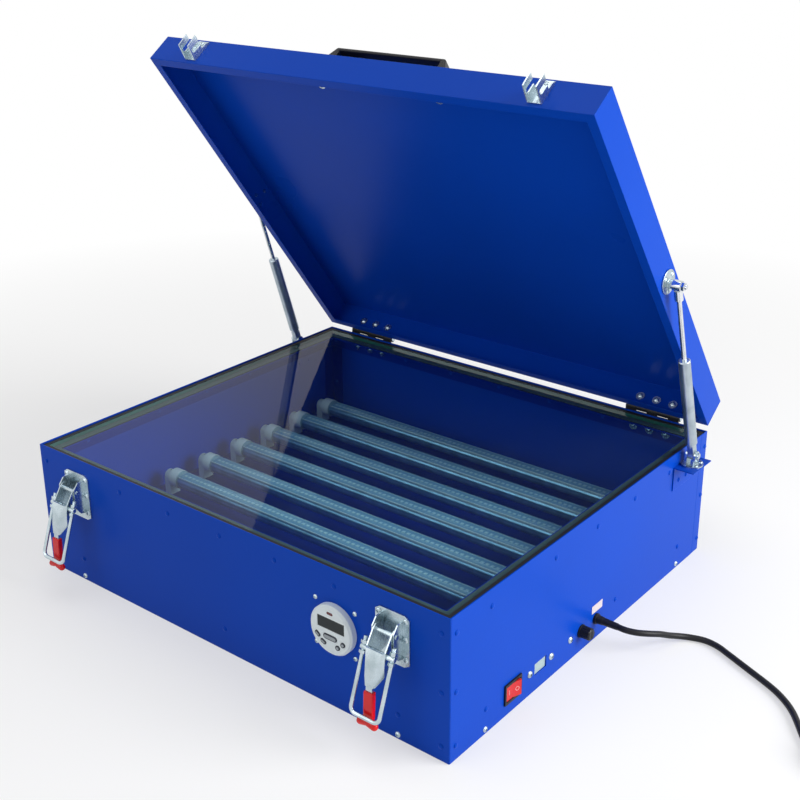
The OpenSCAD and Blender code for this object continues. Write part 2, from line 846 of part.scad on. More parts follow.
// Two flat blades and an earth pin in a moulded body, along +X from the cord
module plug() color(black) {
    relief = 30;
    body_l = 30;
    body_h = 22;
    translate(coil_exit) rotate([0, 0, atan2(heading_out[1], heading_out[0])]) {
        rotate([0, 90, 0]) cylinder(h = relief, r1 = cord_r + 0.5, r2 = cord_r + 2.2);
        translate([relief - eps, 0, 0]) rotate([90, 0, 0]) linear_extrude(body_h, center = true)
            polygon([[0, -6.5], [0, 6.5], [9, body_h / 2], [body_l, body_h / 2], [body_l, -body_h / 2], [9, -body_h / 2]]);
        for (s = [-1, 1]) {
            translate([relief + body_l + 8, s * 6.35, 4]) cube([17, 1.5, 6.3], center = true);
        }
        translate([relief + body_l - eps, 0, -5]) rotate([0, 90, 0]) cylinder(h = 19, r = 2.4, $fn = 24);
    }
}

// Hinges
leaf_stop = 5.5;
case_leaf_stop = hinge_z - case_h;
leaf_gap = 0.4;

// Knuckles of one leaf: the first of them and every second one after it
module knuckles_from(first, bore) {
    for (i = [first:2:knuckles - 1]) {
        x0 = -hinge_len / 2 + i * knuckle_len;
        inset_0 = i == 0 ? 0 : slip / 2;
        inset_1 = i == knuckles - 1 ? 0 : slip / 2;
        translate([x0 + inset_0, hinge_y, hinge_z]) rotate([0, 90, 0]) difference() {
            cylinder(h = knuckle_len - inset_0 - inset_1, r = knuckle_r);
            translate([0, 0, -1]) cylinder(h = knuckle_len + 2, r = bore);
        }
    }
}

// The strips that join a leaf's plate to its knuckles, from z0 to z1
module knuckle_strips(first, z0, z1) {
    for (i = [first:2:knuckles - 1]) {
        x0 = -hinge_len / 2 + i * knuckle_len;
        translate([x0 + slip / 2, rear_y + leaf_gap, z0])
            cube([knuckle_len - slip, leaf_t - leaf_gap, z1 - z0]);
    }
}

module hinge_case_leaves() color(black) {
    for (s = [-1, 1]) {
        translate([s * hinge_x, 0, 0]) {
            knuckles_from(0, hinge_pin_r);
            knuckle_strips(0, hinge_z - case_leaf_stop - eps, hinge_z);
            block([-hinge_len / 2, rear_y, hinge_z - leaf_stop - leaf_h],
                  [hinge_len / 2, rear_y + leaf_t, hinge_z - case_leaf_stop]);
        }
    }
}

module hinge_lid_leaves() color(black) {
    on_lid() for (s = [-1, 1]) {
        translate([s * hinge_x, 0, 0]) {
            knuckles_from(1, hinge_pin_r + run_fit);
            knuckle_strips(1, hinge_z, hinge_z + leaf_stop + eps);
            block([-hinge_len / 2, rear_y, hinge_z + leaf_stop],
                  [hinge_len / 2, rear_y + leaf_t, hinge_z + leaf_stop + leaf_h]);
        }
    }
}

module hinge_pins() color(zinc) {
    for (s = [-1, 1]) {
        translate([s * hinge_x, hinge_y, hinge_z]) rotate([0, 90, 0]) {
            cylinder(h = hinge_len, r = hinge_pin_r, center = true);
            for (e = [-1, 1]) {
                translate([0, 0, e * (hinge_len / 2 + 0.6)]) cylinder(h = 1.2 + eps, r = hinge_pin_r + 1, center = true);
            }
        }
    }
}

// Lid, drawn closed and turned open. u runs from its back edge, w up from its rim.
function lid_y(u) = rear_y - u;
function lid_z(w) = rim_z + w;
inner_x = side_x - lid_sheet;
inner_y = rear_y - lid_sheet;

module lid_shell() color(paint_blue) {
    flange_x = side_x - rim_flange;
    flange_y = rear_y - rim_flange;
    on_lid() difference() {
        centred_plate(side_x, rear_y, rim_z, rim_z + lid_h);
        centred_plate(inner_x, inner_y, rim_z + lid_sheet, rim_z + lid_h - lid_sheet);
        centred_plate(flange_x, flange_y, rim_z - 1, rim_z + 2 * lid_sheet);
    }
}

// Grab handle, a moulded strap on two feet
handle_u = case_d - handle_in;
foot_l = 22;

module lid_handle() color(black) {
    span = handle_pitch / 2 + foot_l / 2;
    top = handle_pitch / 2 - 8;
    on_lid() translate([0, lid_y(handle_u), rim_z + lid_h]) rotate([90, 0, 0])
        linear_extrude(handle_d, center = true)
            polygon([
                [-span, 0], [-span, handle_wall], [-top, handle_h], [top, handle_h],
                [span, handle_wall], [span, 0], [span - foot_l, 0],
                [top - handle_wall, handle_h - handle_wall],
                [handle_wall - top, handle_h - handle_wall], [foot_l - span, 0]
            ]);
}

// Gas struts
strut_x = side_x + strut_out;
foot_y = rear_y - foot_back;
foot_z = case_h - foot_drop;
stud_closed = [lid_y(stud_back) - hinge_y, lid_z(stud_up) - hinge_z];
stud_y = hinge_y + stud_closed[0] * cos(lid_open) + stud_closed[1] * sin(lid_open);
stud_z = hinge_z - stud_closed[0] * sin(lid_open) + stud_closed[1] * cos(lid_open);
strut_open = norm([stud_y - foot_y, stud_z - foot_z]);
strut_tilt = atan2(foot_y - stud_y, stud_z - foot_z);
echo(strut_open = strut_open, strut_tilt = strut_tilt);
eye_r = 6;
eye_w = 8;
strut_pin_r = 3;
tube_from = 20;
tube_to = tube_from + strut_len;
tube_bore = strut_r - 1.3;
rod_end_w = 10.4;
rod_end_r = 6.5;
open_gap = 0.35;
piston_l = 6;
shelf_z = foot_z - 13;
shelf_rivet_z = shelf_z - 22;

module on_strut(s) {
    translate([s * strut_x, foot_y, foot_z]) rotate([strut_tilt, 0, 0]) children();
}

module strut_tube(s) color(pale_grey) {
    on_strut(s) difference() {
        union() {
            rotate([0, 90, 0]) cylinder(h = eye_w, r = eye_r, center = true);
            block([-eye_w / 2, -5, 0], [eye_w / 2, 5, tube_from - 4]);
            translate([0, 0, tube_from - 6]) cylinder(h = 6 + eps, r = 5.5);
            translate([0, 0, tube_from]) cylinder(h = strut_len - 1, r = strut_r);
            translate([0, 0, tube_to - 1 - eps]) cylinder(h = 1, r1 = strut_r, r2 = strut_r - 1);
        }
        rotate([0, 90, 0]) cylinder(h = eye_w + 2, r = strut_pin_r + run_fit, center = true);
        translate([0, 0, tube_from + 6]) cylinder(h = strut_len - 11, r = tube_bore);
        translate([0, 0, tube_to - 10]) cylinder(h = 12, r = rod_r + run_fit);
    }
}

module strut_rod(s) color(zinc) {
    piston_at = tube_to - 14;
    on_strut(s) {
        translate([0, 0, piston_at]) cylinder(h = piston_l, r = tube_bore - run_fit);
        translate([0, 0, piston_at]) cylinder(h = strut_open - 8 - piston_at, r = rod_r);
        translate([0, 0, strut_open - 20]) cylinder(h = 14, r = rod_end_w / 2);
        translate([0, 0, strut_open]) rotate([0, s * 90, 0]) {
            cylinder(h = rod_end_w, r = rod_end_r, center = true);
            translate([0, 0, rod_end_w / 2 - eps]) cylinder(h = 4, r = 5.4, $fn = 6);
            translate([0, 0, rod_end_w / 2]) cylinder(h = 6.5, r = strut_pin_r);
        }
    }
}

plate_t = 2;
bracket_rivets = [[279, 30.5], [287, 15.5], [269.5, 13]];

module strut_lid_brackets() color(zinc) {
    boss_x = strut_x - rod_end_w / 2 - open_gap;
    on_lid() both_sides() {
        translate([side_x, lid_y(stud_back + 3), lid_z(stud_up + 0.5)])
            rotate([0, 90, 0]) cylinder(h = plate_t, r = plate_r);
        translate([side_x, lid_y(stud_back), lid_z(stud_up)])
            rotate([0, 90, 0]) cylinder(h = boss_x - side_x, r = 5.5);
    }
}

module on_shelf(s) {
    for (y = [foot_y - 10, foot_y + 10]) {
        translate([s * (side_x + sheet), y, shelf_rivet_z]) rotate([0, s * 90, 0]) children();
    }
}

module strut_shelves() color(paint_blue) {
    both_sides() {
        translate([0, foot_y + shelf_len / 2, 0]) rotate([90, 0, 0]) linear_extrude(shelf_len)
            polygon([
                [side_x, shelf_z - 33], [side_x, shelf_z], [side_x + shelf_w, shelf_z],
                [side_x + shelf_w, shelf_z - sheet], [side_x + sheet, shelf_z - sheet],
                [side_x + sheet, shelf_z - 33]
            ]);
    }
}

foot_screws = [[9.5, 7], [9.5, -7], [-7.5, 9.5]];

module strut_feet() color(zinc) {
    cheek_t = 2.4;
    cheek_in = eye_w / 2 + 0.4;
    pin_w = 2 * (cheek_in + cheek_t);
    both_sides() difference() {
        translate([strut_x, foot_y, foot_z]) {
            translate([0, 0, shelf_z - foot_z]) cylinder(h = plate_t, r = plate_r);
            for (s = [-1, 1]) {
                translate([s * (cheek_in + cheek_t / 2), 0, 0]) {
                    rotate([0, 90, 0]) cylinder(h = cheek_t, r = eye_r, center = true);
                    translate([0, 0, (shelf_z - foot_z + 1) / 2])
                        cube([cheek_t, 2 * eye_r, foot_z - shelf_z - 1], center = true);
                }
            }
            rotate([0, 90, 0]) {
                cylinder(h = pin_w + eps, r = strut_pin_r, center = true);
                translate([0, 0, pin_w / 2]) cylinder(h = 2.5, r = 4);
            }
        }
        block([side_x - 9, foot_y - 20, shelf_z - 1], [side_x + 0.2, foot_y + 20, shelf_z + 4]);
    }
}

// Latches, t is the distance out from the front
latch_x = side_x - latch_in;
pin_at = [13, latch_z];
loop_pivot = [25, latch_z - 18];
nut_half = 3.7;
ear_t = 1.6;
ear_out = loop_w / 2 - nut_half - 0.4;
cheek_out = ear_out - ear_t - 0.4;
latch_base_t = 2;
trunnion_r = 3;

module on_latch(s) {
    translate([s * latch_x, front_y, 0]) children();
}

// A bar along X through the point at = [t, z]
module cross_bar(at, r, l) {
    translate([-l / 2, -at[0], at[1]]) rotate([0, 90, 0]) cylinder(h = l, r = r);
}

// A sheet of thickness w across X, with its outline in t and z
module plate_tz(w) {
    profile_x(w) mirror([1, 0]) children();
}

latch_screws = [[-1, 14], [1, 14], [1, -8], [-1, -8], [1, -32], [-1, -32]];
latch_screw_x = latch_w / 2 - 4.6;

module latch_bases() color(zinc) {
    half = latch_w / 2;
    for (side = [-1, 1]) {
        on_latch(side) {
            rotate([90, 0, 0]) linear_extrude(latch_base_t) polygon([
                [-half, latch_z - 38], [-half, latch_z + 16], [6 - half, latch_z + 20],
                [half - 6, latch_z + 20], [half, latch_z + 16], [half, latch_z - 38],
                [half - 7, latch_z - 42], [7 - half, latch_z - 42]
            ]);
            for (s = [-1, 1]) {
                translate([s * (ear_out - ear_t / 2), 0, 0]) plate_tz(ear_t) polygon([
                    [1, latch_z - 32], [10, latch_z - 30], [17.5, latch_z - 20],
                    [17.5, latch_z + 5], [11, latch_z + 13], [1, latch_z + 14]
                ]);
            }
            cross_bar(pin_at, latch_pin_r, 2 * ear_out + 2);
        }
    }
}

// One section of the handle's hood: bent sheet from cheek to cheek, with its web in front
function hood_ring(z, wide, side_t, narrow, front_t) = [
    [-wide, -side_t, z], [-narrow, -front_t, z], [narrow, -front_t, z], [wide, -side_t, z],
    [wide - ear_t, -side_t, z], [narrow - 0.7, 2.2 - front_t, z],
    [0.7 - narrow, 2.2 - front_t, z], [ear_t - wide, -side_t, z]
];

module hood() {
    rings = [
        hood_ring(latch_z - 12, cheek_out, 28.5, 11, 31.5),
        hood_ring(latch_z - 20, cheek_out, 30, 8.5, 35),
        hood_ring(latch_z - 30, cheek_out, 31, 7, 38),
        hood_ring(latch_z - 40, cheek_out, 31, 6, 40),
        hood_ring(latch_z - 51, 6.2, 38.2, 5, 40.8)
    ];
    k = len(rings[0]);
    last = k * (len(rings) - 1);
    walls = [for (i = [0:len(rings) - 2], j = [0:k - 1], half = [0, 1])
        let (a = i * k + j, b = i * k + (j + 1) % k)
        half == 0 ? [a, b, a + k] : [b, b + k, a + k]];
    band = [[0, 1, 6], [0, 6, 7], [1, 2, 5], [1, 5, 6], [2, 3, 4], [2, 4, 5]];
    caps = [for (f = band) each [[f[2], f[1], f[0]], [f[0] + last, f[1] + last, f[2] + last]]];
    polyhedron(points = [for (r = rings) each r], faces = concat(walls, caps), convexity = 6);
}

module latch_handle(side) color(zinc) {
    cheek = [
        [6.5, latch_z + 2], [9, latch_z + 6], [14, latch_z + 7], [18.5, latch_z + 3],
        [28.5, latch_z - 12], [30, latch_z - 20], [31, latch_z - 30], [31, latch_z - 40],
        [24.5, latch_z - 34], [20, latch_z - 24], [7, latch_z - 4]
    ];
    strap = [
        [40.2, latch_z - 49], [40.8, latch_z - 58], [42.5, latch_z - 88], [39.3, latch_z - 88],
        [37.6, latch_z - 58], [38.6, latch_z - 49]
    ];
    neck = grip_w / 2 - 1.8;
    on_latch(side) {
        difference() {
            for (s = [-1, 1]) {
                translate([s * (cheek_out - ear_t / 2), 0, 0]) plate_tz(ear_t) polygon(cheek);
            }
            cross_bar(pin_at, latch_pin_r + run_fit, 60);
            cross_bar(loop_pivot, trunnion_r + run_fit, 60);
        }
        difference() {
            hood();
            cross_bar(loop_pivot, trunnion_r + run_fit, 60);
        }
        plate_tz(2 * neck) polygon(strap);
    }
}

module latch_grip(side) color(red) {
    lobe_r = 4.4;
    wall = 1.8;
    outer = [
        [42.6, latch_z - 57], [44, latch_z - 88], [46.2, latch_z - 91], [42.5, latch_z - 95],
        [37.8, latch_z - 88], [36, latch_z - 57]
    ];
    inner = [
        [40.8, latch_z - 56], [42.5, latch_z - 88], [39.3, latch_z - 88], [37.6, latch_z - 56]
    ];
    on_latch(side) {
        difference() {
            plate_tz(grip_w) polygon(outer);
            plate_tz(grip_w - 2 * wall) polygon(inner);
        }
        for (s = [-1, 1]) {
            translate([s * 2, -43.8, latch_z - 92]) rotate([0, s * 104, 0]) capsule(7.5, lobe_r);
        }
    }
}

// The clasp loop is one bent rod, its two threaded ends held in a cross bar
module latch_loop(side) color(zinc) {
    corner = 6;
    leg = loop_w / 2;
    past = 12;
    half = concat(
        [[leg, 0, past], [leg, 0, -loop_len / 2]],
        [for (i = [0:4]) [
            leg - corner + corner * cos(i * 22.5), 0, corner - loop_len - corner * sin(i * 22.5)
        ]]
    );
    n = len(half);
    path = concat(half, [for (i = [n - 1:-1:0]) [-half[i][0], 0, half[i][2]]]);
    last = len(path) - 1;
    heads = [for (i = [0:last]) i < 3 ? [0, 0, -1] : i > last - 3 ? [0, 0, 1] : flow(path, i)];
    on_latch(side) translate([0, -loop_pivot[0], loop_pivot[1]]) rotate([-loop_lean, 0, 0]) {
        swept(path, heads, loop_r, 12, [0, 1, 0]);
        for (s = [-1, 1], e = [-1, 1]) {
            translate([s * leg, 0, e * (trunnion_r + 2.4)]) rotate([0, 0, 30])
                cylinder(h = 3.6, r = nut_half / cos(30), center = true, $fn = 6);
        }
        bar([-leg - 3.4, 0, 0], [leg + 3.4, 0, 0], trunnion_r);
    }
}

// Catches on the lid. The loop's bar lies in their notches when the lid is shut.
swing_t = 12;
swing_up = asin((loop_pivot[0] - swing_t) / loop_len);
hook_w = loop_pivot[1] + loop_len * cos(swing_up) - rim_z;
loop_swing = 180 + swing_up - loop_lean;
echo(hook_w = hook_w, loop_swing = loop_swing);
catch_screws = [17, 33];
catch_half = 8.9;
catch_low = hook_w - 7;
catch_len = 32.5;
catch_sheet = 1.5;

module latch_catches() color(zinc) {
    notch = loop_r + slip + 0.35;
    on_lid() for (side = [-1, 1]) {
        on_latch(side) translate([0, 0, rim_z + catch_low]) {
            rotate([90, 0, 0]) linear_extrude(catch_sheet)
                translate([-catch_half, 0]) square([2 * catch_half, catch_len]);
            for (s = [-1, 1]) {
                translate([s * (catch_half - catch_sheet / 2), 0, 0]) plate_tz(catch_sheet) difference() {
                    polygon([
                        [0.5, 0], [22, 3], [23.5, 21], [16, 20], [4.5, 18.5], [4, 27],
                        [1.5, catch_len], [0.5, catch_len]
                    ]);
                    translate([swing_t, 7]) circle(notch);
                    translate([swing_t - notch, 7]) square([2 * notch, 20]);
                }
            }
        }
    }
}

// Screws
timer_screw = 28;

module case_screws() color(zinc) {
    for (s = [-1, 1]) {
        on_front(s * 262, foot_screw_z) screw(screw_r, 5);
        on_rear(s * 262, foot_screw_z) screw(screw_r, 5);
        on_right(s * (rear_y - foot_screw_in), foot_screw_z) screw(screw_r, 5);
        on_left(s * (rear_y - foot_screw_in), foot_screw_z) screw(screw_r, 5);
        on_right(blank_y + s * inlet_screw_pitch / 2, fitting_z) screw(fitting_screw_r, 5);
        for (t = [-1, 1]) {
            on_front(timer_x + s * timer_screw, timer_z + t * timer_screw) screw(3, 6);
        }
        for (k = [-1:1]) {
            translate([s * hinge_x + k * hinge_screw_pitch, wall_y - sheet, hinge_z - 24])
                rotate([90, 0, 0]) screw(screw_r, 8.6, washer_r);
        }
        for (p = latch_screws) {
            on_front(s * latch_x + p[0] * latch_screw_x, latch_z + p[1])
                translate([0, 0, latch_base_t]) screw(screw_r, 7);
        }
        for (p = foot_screws) {
            translate([s * (strut_x + p[0]), foot_y + p[1], shelf_z + plate_t]) screw(2.3, 6);
        }
    }
    on_right(fuse_y - 24, fitting_z) screw(fitting_screw_r, 5);
}

module lid_screws() color(zinc) {
    on_lid() for (s = [-1, 1]) {
        for (k = [-1:1]) {
            translate([s * hinge_x + k * hinge_screw_pitch, inner_y, lid_z(16)])
                rotate([90, 0, 0]) screw(screw_r, 5.2, washer_r);
        }
        for (w = catch_screws) {
            on_front(s * latch_x, lid_z(w)) translate([0, 0, 1.5]) screw(2.8, 5);
        }
        translate([s * handle_pitch / 2, lid_y(handle_u), lid_z(lid_h - lid_sheet)])
            rotate([180, 0, 0]) screw(screw_r, 8, washer_r);
        for (p = bracket_rivets) {
            translate([s * (side_x + plate_t), lid_y(p[0]), lid_z(p[1])])
                rotate([0, s * 90, 0]) rivet(plate_t + lid_sheet);
        }
    }
}

front_panel();
left_panel();
right_panel();
rear_panel();
base_panel();
corner_posts();
glass_ledge();
glass_seal();
glass_plate();
lamp_deck();
case_rivets();
case_screws();
lamp_tubes();
lamp_caps();
led_strips();
lamp_holders();
power_driver();
terminal_block();
wiring();
timer_body();
timer_display();
timer_lamp();
timer_button(0);  // timer_button_1
timer_button(1);  // timer_button_2
timer_button(2);  // timer_button_3
timer_button(3);  // timer_button_4
timer_button(4);  // timer_button_5
rocker_frame();
rocker_paddle();
blanking_plate();
fuse_holder();
fuse_cap();
cord_gland();
label_plate();
cord();
cord_coil();
plug();
hinge_case_leaves();
hinge_lid_leaves();
hinge_pins();
lid_shell();
lid_handle();
lid_screws();
latch_catches();
strut_lid_brackets();
strut_shelves();
strut_feet();
strut_tube(-1);  // strut_tube_left
strut_tube(1);  // strut_tube_right
strut_rod(-1);  // strut_rod_left
strut_rod(1);  // strut_rod_right
latch_bases();
latch_handle(-1);  // latch_handle_left
latch_handle(1);  // latch_handle_right
latch_grip(-1);  // latch_grip_left
latch_grip(1);  // latch_grip_right
latch_loop(-1);  // latch_loop_left
latch_loop(1);  // latch_loop_right
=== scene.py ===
"""Screen printing exposure unit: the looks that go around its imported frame.

The case, lid and fittings come from the frame. This script dresses them and
builds the finer pieces, then adds the floor, the lights and the camera.
"""

import json
import logging
import math
from collections.abc import Iterable, Sequence
from dataclasses import dataclass
from enum import Enum

import bmesh
import bpy
from mathutils import Matrix, Vector


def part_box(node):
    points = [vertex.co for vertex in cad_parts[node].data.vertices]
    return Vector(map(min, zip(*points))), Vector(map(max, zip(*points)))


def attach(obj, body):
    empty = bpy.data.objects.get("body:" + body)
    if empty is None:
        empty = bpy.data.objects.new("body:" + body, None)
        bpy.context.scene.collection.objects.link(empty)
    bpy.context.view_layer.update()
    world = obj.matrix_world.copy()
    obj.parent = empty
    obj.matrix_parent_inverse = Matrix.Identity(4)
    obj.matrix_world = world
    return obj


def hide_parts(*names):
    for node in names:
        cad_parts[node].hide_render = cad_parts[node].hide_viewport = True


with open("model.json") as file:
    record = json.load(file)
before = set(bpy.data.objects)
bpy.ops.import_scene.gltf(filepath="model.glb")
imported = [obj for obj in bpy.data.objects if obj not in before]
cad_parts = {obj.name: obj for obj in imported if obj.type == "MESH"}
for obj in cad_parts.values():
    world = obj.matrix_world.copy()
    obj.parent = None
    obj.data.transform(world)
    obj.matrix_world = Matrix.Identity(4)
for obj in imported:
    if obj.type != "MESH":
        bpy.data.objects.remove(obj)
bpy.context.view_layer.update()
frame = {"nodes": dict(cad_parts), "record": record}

LOG = logging.getLogger("exposure_unit")
Point = tuple[float, float, float]
Colour = tuple[float, float, float]
MM = 0.001
QUARTER_TURN = math.pi / 2
SMOOTH_ANGLE = math.radians(35)
# Faces that meet at less than this are one flat face
FLAT_ANGLE = math.radians(0.4)
# Corners of the frame's meshes that lie nearer than this are one
WELD = 0.000002
SIDES = ("left", "right")
PURE_WHITE = (1.0, 1.0, 1.0)
MIRRORED_RAYS = ("Is Glossy Ray", "Is Transmission Ray")


class Sock:
    """A shader socket that takes part in maths."""

    def __init__(self, kit: "Shader", socket: bpy.types.NodeSocket) -> None:
        """Keeps the socket and the material it belongs to."""
        self.kit = kit
        self.socket = socket

    def _do(self, operation: str, *values: "Sock | float") -> "Sock":
        """Adds one Math node.

        Args:
            operation: The node's operation.
            values: What goes into its inputs, in order.

        Returns:
            The node's result.
        """
        inputs = dict(enumerate(values))
        return self.kit.add("ShaderNodeMath", {"operation": operation}, inputs)

    def __add__(self, other: "Sock | float") -> "Sock":
        """Sum."""
        return self._do("ADD", self, other)

    def __sub__(self, other: "Sock | float") -> "Sock":
        """Difference."""
        return self._do("SUBTRACT", self, other)

    def __rsub__(self, other: float) -> "Sock":
        """Difference from a number."""
        return self._do("SUBTRACT", other, self)

    def __mul__(self, other: "Sock | float") -> "Sock":
        """Product."""
        return self._do("MULTIPLY", self, other)

    def above(self, limit: float) -> "Sock":
        """1 where the value is above the limit, else 0."""
        return self._do("GREATER_THAN", self, limit)

    def held(self) -> "Sock":
        """The value kept from 0 to 1."""
        return self._do("MINIMUM", self._do("MAXIMUM", self, 0.0), 1.0)


class Shader:
    """Builds the nodes of one material."""

    def __init__(self, name: str) -> None:
        """Starts a material with one Principled shader.

        Args:
            name: The material's name.
        """
        self.material = bpy.data.materials.new(f"{name}_finish")
        self.material.use_nodes = True
        self.tree = self.material.node_tree
        self.tree.nodes.clear()
        self.output = self.tree.nodes.new("ShaderNodeOutputMaterial")
        self.surface = self.tree.nodes.new("ShaderNodeBsdfPrincipled")
        self.principled = Sock(self, self.surface.outputs[0])
        self.show(self.principled)

    def show(self, result: Sock) -> None:
        """Makes a shader the material's surface."""
        self.tree.links.new(result.socket, self.output.inputs[0])

    def _feed(self, socket: bpy.types.NodeSocket, value: object) -> None:
        """Links or sets one input."""
        if isinstance(value, Sock):
            self.tree.links.new(value.socket, socket)
        elif isinstance(value, tuple) and len(value) == 3 and socket.type == "RGBA":
            socket.default_value = (*value, 1.0)
        else:
            socket.default_value = value

    def add(
        self,
        kind: str,
        settings: dict[str, object] | None = None,
        inputs: dict[str | int, object] | None = None,
        out: str | int = 0,
    ) -> Sock:
        """Adds a node.

        Args:
            kind: The node's type.
            settings: Its own settings, set before its inputs.
            inputs: Values or sockets, by input name or number.
            out: The output that is wanted.

        Returns:
            That output.
        """
        node = self.tree.nodes.new(kind)
        for key, value in (settings or {}).items():
            setattr(node, key, value)
        for key, value in (inputs or {}).items():
            self._feed(node.inputs[key], value)
        return Sock(self, node.outputs[out])

    def set(self, **values: object) -> None:
        """Sets or links inputs of the Principled shader; _ stands for a space."""
        for key, value in values.items():
            self._feed(self.surface.inputs[key.replace("_", " ")], value)

    def place(self) -> Sock:
        """Object coordinates."""
        return self.add("ShaderNodeTexCoord", out="Object")

    def noise(self, scale: float, detail: float, vector: Sock | None = None) -> Sock:
        """Noise from 0 to 1.

        Args:
            scale: How fine it is.
            detail: How many finer layers it has.
            vector: Where it is read, in object space when none is given.

        Returns:
            The noise.
        """
        inputs = {"Vector": vector or self.place(), "Scale": scale, "Detail": detail}
        return self.add("ShaderNodeTexNoise", None, inputs, "Fac")

    def mapped(self, **inputs: Point) -> Sock:
        """Object coordinates, stretched or turned."""
        return self.add("ShaderNodeMapping", None, {"Vector": self.place(), **inputs})

    def blend(self, fac: Sock | float, low: Sock | Colour, high: Sock | Colour) -> Sock:
        """Mixes two colours, from low at 0 to high at 1."""
        settings = {"data_type": "RGBA"}
        return self.add("ShaderNodeMix", settings, {0: fac, 6: low, 7: high}, 2)

    def drift(self, fac: Sock, colour: Colour) -> Sock:
        """A colour that goes from a tenth darker to a tenth lighter."""
        return self.blend(fac, shade(colour, 0.9), shade(colour, 1.1))

    def mix(self, fac: Sock, low: Sock, high: Sock) -> Sock:
        """Mixes two shaders, from low at 0 to high at 1."""
        return self.add("ShaderNodeMixShader", None, {0: fac, 1: low, 2: high})

    def bump(self, height: Sock, depth: float) -> None:
        """Raises the surface by a height of 0 to 1 times depth, in metres."""
        inputs = {"Height": height, "Distance": depth}
        self.set(Normal=self.add("ShaderNodeBump", None, inputs))


def shade(colour: Colour, times: float) -> Colour:
    """A colour made lighter or darker.

    Args:
        colour: Linear red, green and blue.
        times: What each is multiplied by.

    Returns:
        The new colour, kept from 0 to 1.
    """
    red, green, blue = (min(1.0, part * times) for part in colour)
    return (red, green, blue)


@dataclass(frozen=True)
class Paint:
    """Sprayed paint on sheet steel, with orange peel and fine dust."""

    name: str
    colour: Colour
    rough: float = 0.3
    peel: float = 260.0
    depth: float = 0.00006
    gloss: float = 0.5

    def build(self) -> bpy.types.Material:
        """Returns the finished material."""
        kit = Shader(self.name)
        cloud = kit.noise(scale=5.0, detail=3.0)
        dust = kit.noise(scale=900.0, detail=1.0).above(0.74)
        drift = kit.drift(cloud, self.colour)
        kit.set(
            Base_Color=kit.blend(dust * 0.12, drift, shade(self.colour, 1.9)),
            Roughness=(cloud * 0.14 + (self.rough - 0.07) + dust * 0.1).held(),
            Specular_IOR_Level=self.gloss,
        )
        kit.bump(kit.noise(scale=self.peel, detail=2.0), self.depth)
        return kit.material


@dataclass(frozen=True)
class Plated:
    """Bright plated steel with soft drawing marks and faint stains."""

    name: str
    colour: Colour = (0.60, 0.69, 0.74)
    rough: float = 0.26
    along: Point = (1.0, 1.0, 0.15)
    stained: Colour = (0.66, 0.70, 0.70)

    def build(self) -> bpy.types.Material:
        """Returns the finished material."""
        kit = Shader(self.name)
        stain = kit.noise(scale=60.0, detail=3.0)
        drawn = kit.noise(scale=900.0, detail=2.0, vector=kit.mapped(Scale=self.along))
        dark = tuple(part * kept for part, kept in zip(self.colour, self.stained))
        kit.set(
            Base_Color=kit.blend((stain * 2.2 - 0.5).held(), dark, self.colour),
            Metallic=1.0,
            Roughness=(drawn * 0.1 + stain * 0.06 + (self.rough - 0.08)).held(),
        )
        kit.bump(drawn, depth=0.00002)
        return kit.material


@dataclass(frozen=True)
class Moulded:
    """Moulded plastic with a fine grain."""

    name: str
    colour: Colour
    rough: float = 0.4
    grain: float = 700.0
    depth: float = 0.00003
    coat: float = 0.0

    def build(self) -> bpy.types.Material:
        """Returns the finished material."""
        kit = Shader(self.name)
        cloud = kit.noise(scale=30.0, detail=2.0)
        kit.set(
            Base_Color=kit.drift(cloud, self.colour),
            Roughness=(cloud * 0.12 + (self.rough - 0.06)).held(),
            Specular_IOR_Level=0.25,
            Coat_Weight=self.coat,
            Coat_Roughness=0.08,
        )
        kit.bump(kit.noise(scale=self.grain, detail=2.0), self.depth)
        return kit.material


@dataclass(frozen=True)
class Clear:
    """Glass or clear plastic that light goes straight through, with gloss and a thin veil."""

    name: str
    tint: Colour
    veil: float
    veil_colour: Colour = (0.6, 0.75, 0.78)
    ior: float = 1.5
    rough: float = 0.02

    def build(self) -> bpy.types.Material:
        """Returns the finished material."""
        kit = Shader(self.name)
        smear = kit.noise(scale=14.0, detail=4.0)
        rough = (smear * 0.03 + self.rough).held()
        kit.set(
            Base_Color=kit.blend(smear, shade(self.veil_colour, 0.85), self.veil_colour),
            Roughness=rough,
            Specular_IOR_Level=0.0,
        )
        through = kit.add("ShaderNodeBsdfTransparent", None, {"Color": self.tint})
        haze = (smear * self.veil + self.veil * 0.5).held()
        veiled = kit.mix(haze, through, kit.principled)
        mirror = {"Color": PURE_WHITE, "Roughness": rough}
        gloss = kit.add("ShaderNodeBsdfGlossy", None, mirror)
        fresnel = kit.add("ShaderNodeFresnel", None, {"IOR": self.ior})
        front = 1.0 - kit.add("ShaderNodeNewGeometry", out="Backfacing")
        kit.show(kit.mix((fresnel * front).held(), veiled, gloss))
        return kit.material


@dataclass(frozen=True)
class Screen:
    """A dark liquid crystal screen with faint cells."""

    name: str
    colour: Colour = (0.012, 0.018, 0.020)

    def build(self) -> bpy.types.Material:
        """Returns the finished material."""
        kit = Shader(self.name)
        cells = {
            "Vector": kit.mapped(Rotation=(QUARTER_TURN, 0, 0)),
            "Scale": 280.0,
            "Mortar Size": 0.04,
            "Color1": PURE_WHITE,
            "Color2": (0.9, 0.9, 0.9),
            "Mortar": (0.0, 0.0, 0.0),
        }
        grid = kit.add("ShaderNodeTexBrick", {"offset": 0.0}, cells, "Fac")
        kit.set(
            Base_Color=kit.blend(grid, self.colour, shade(self.colour, 1.6)),
            Roughness=0.16,
            Specular_IOR_Level=0.25,
        )
        return kit.material


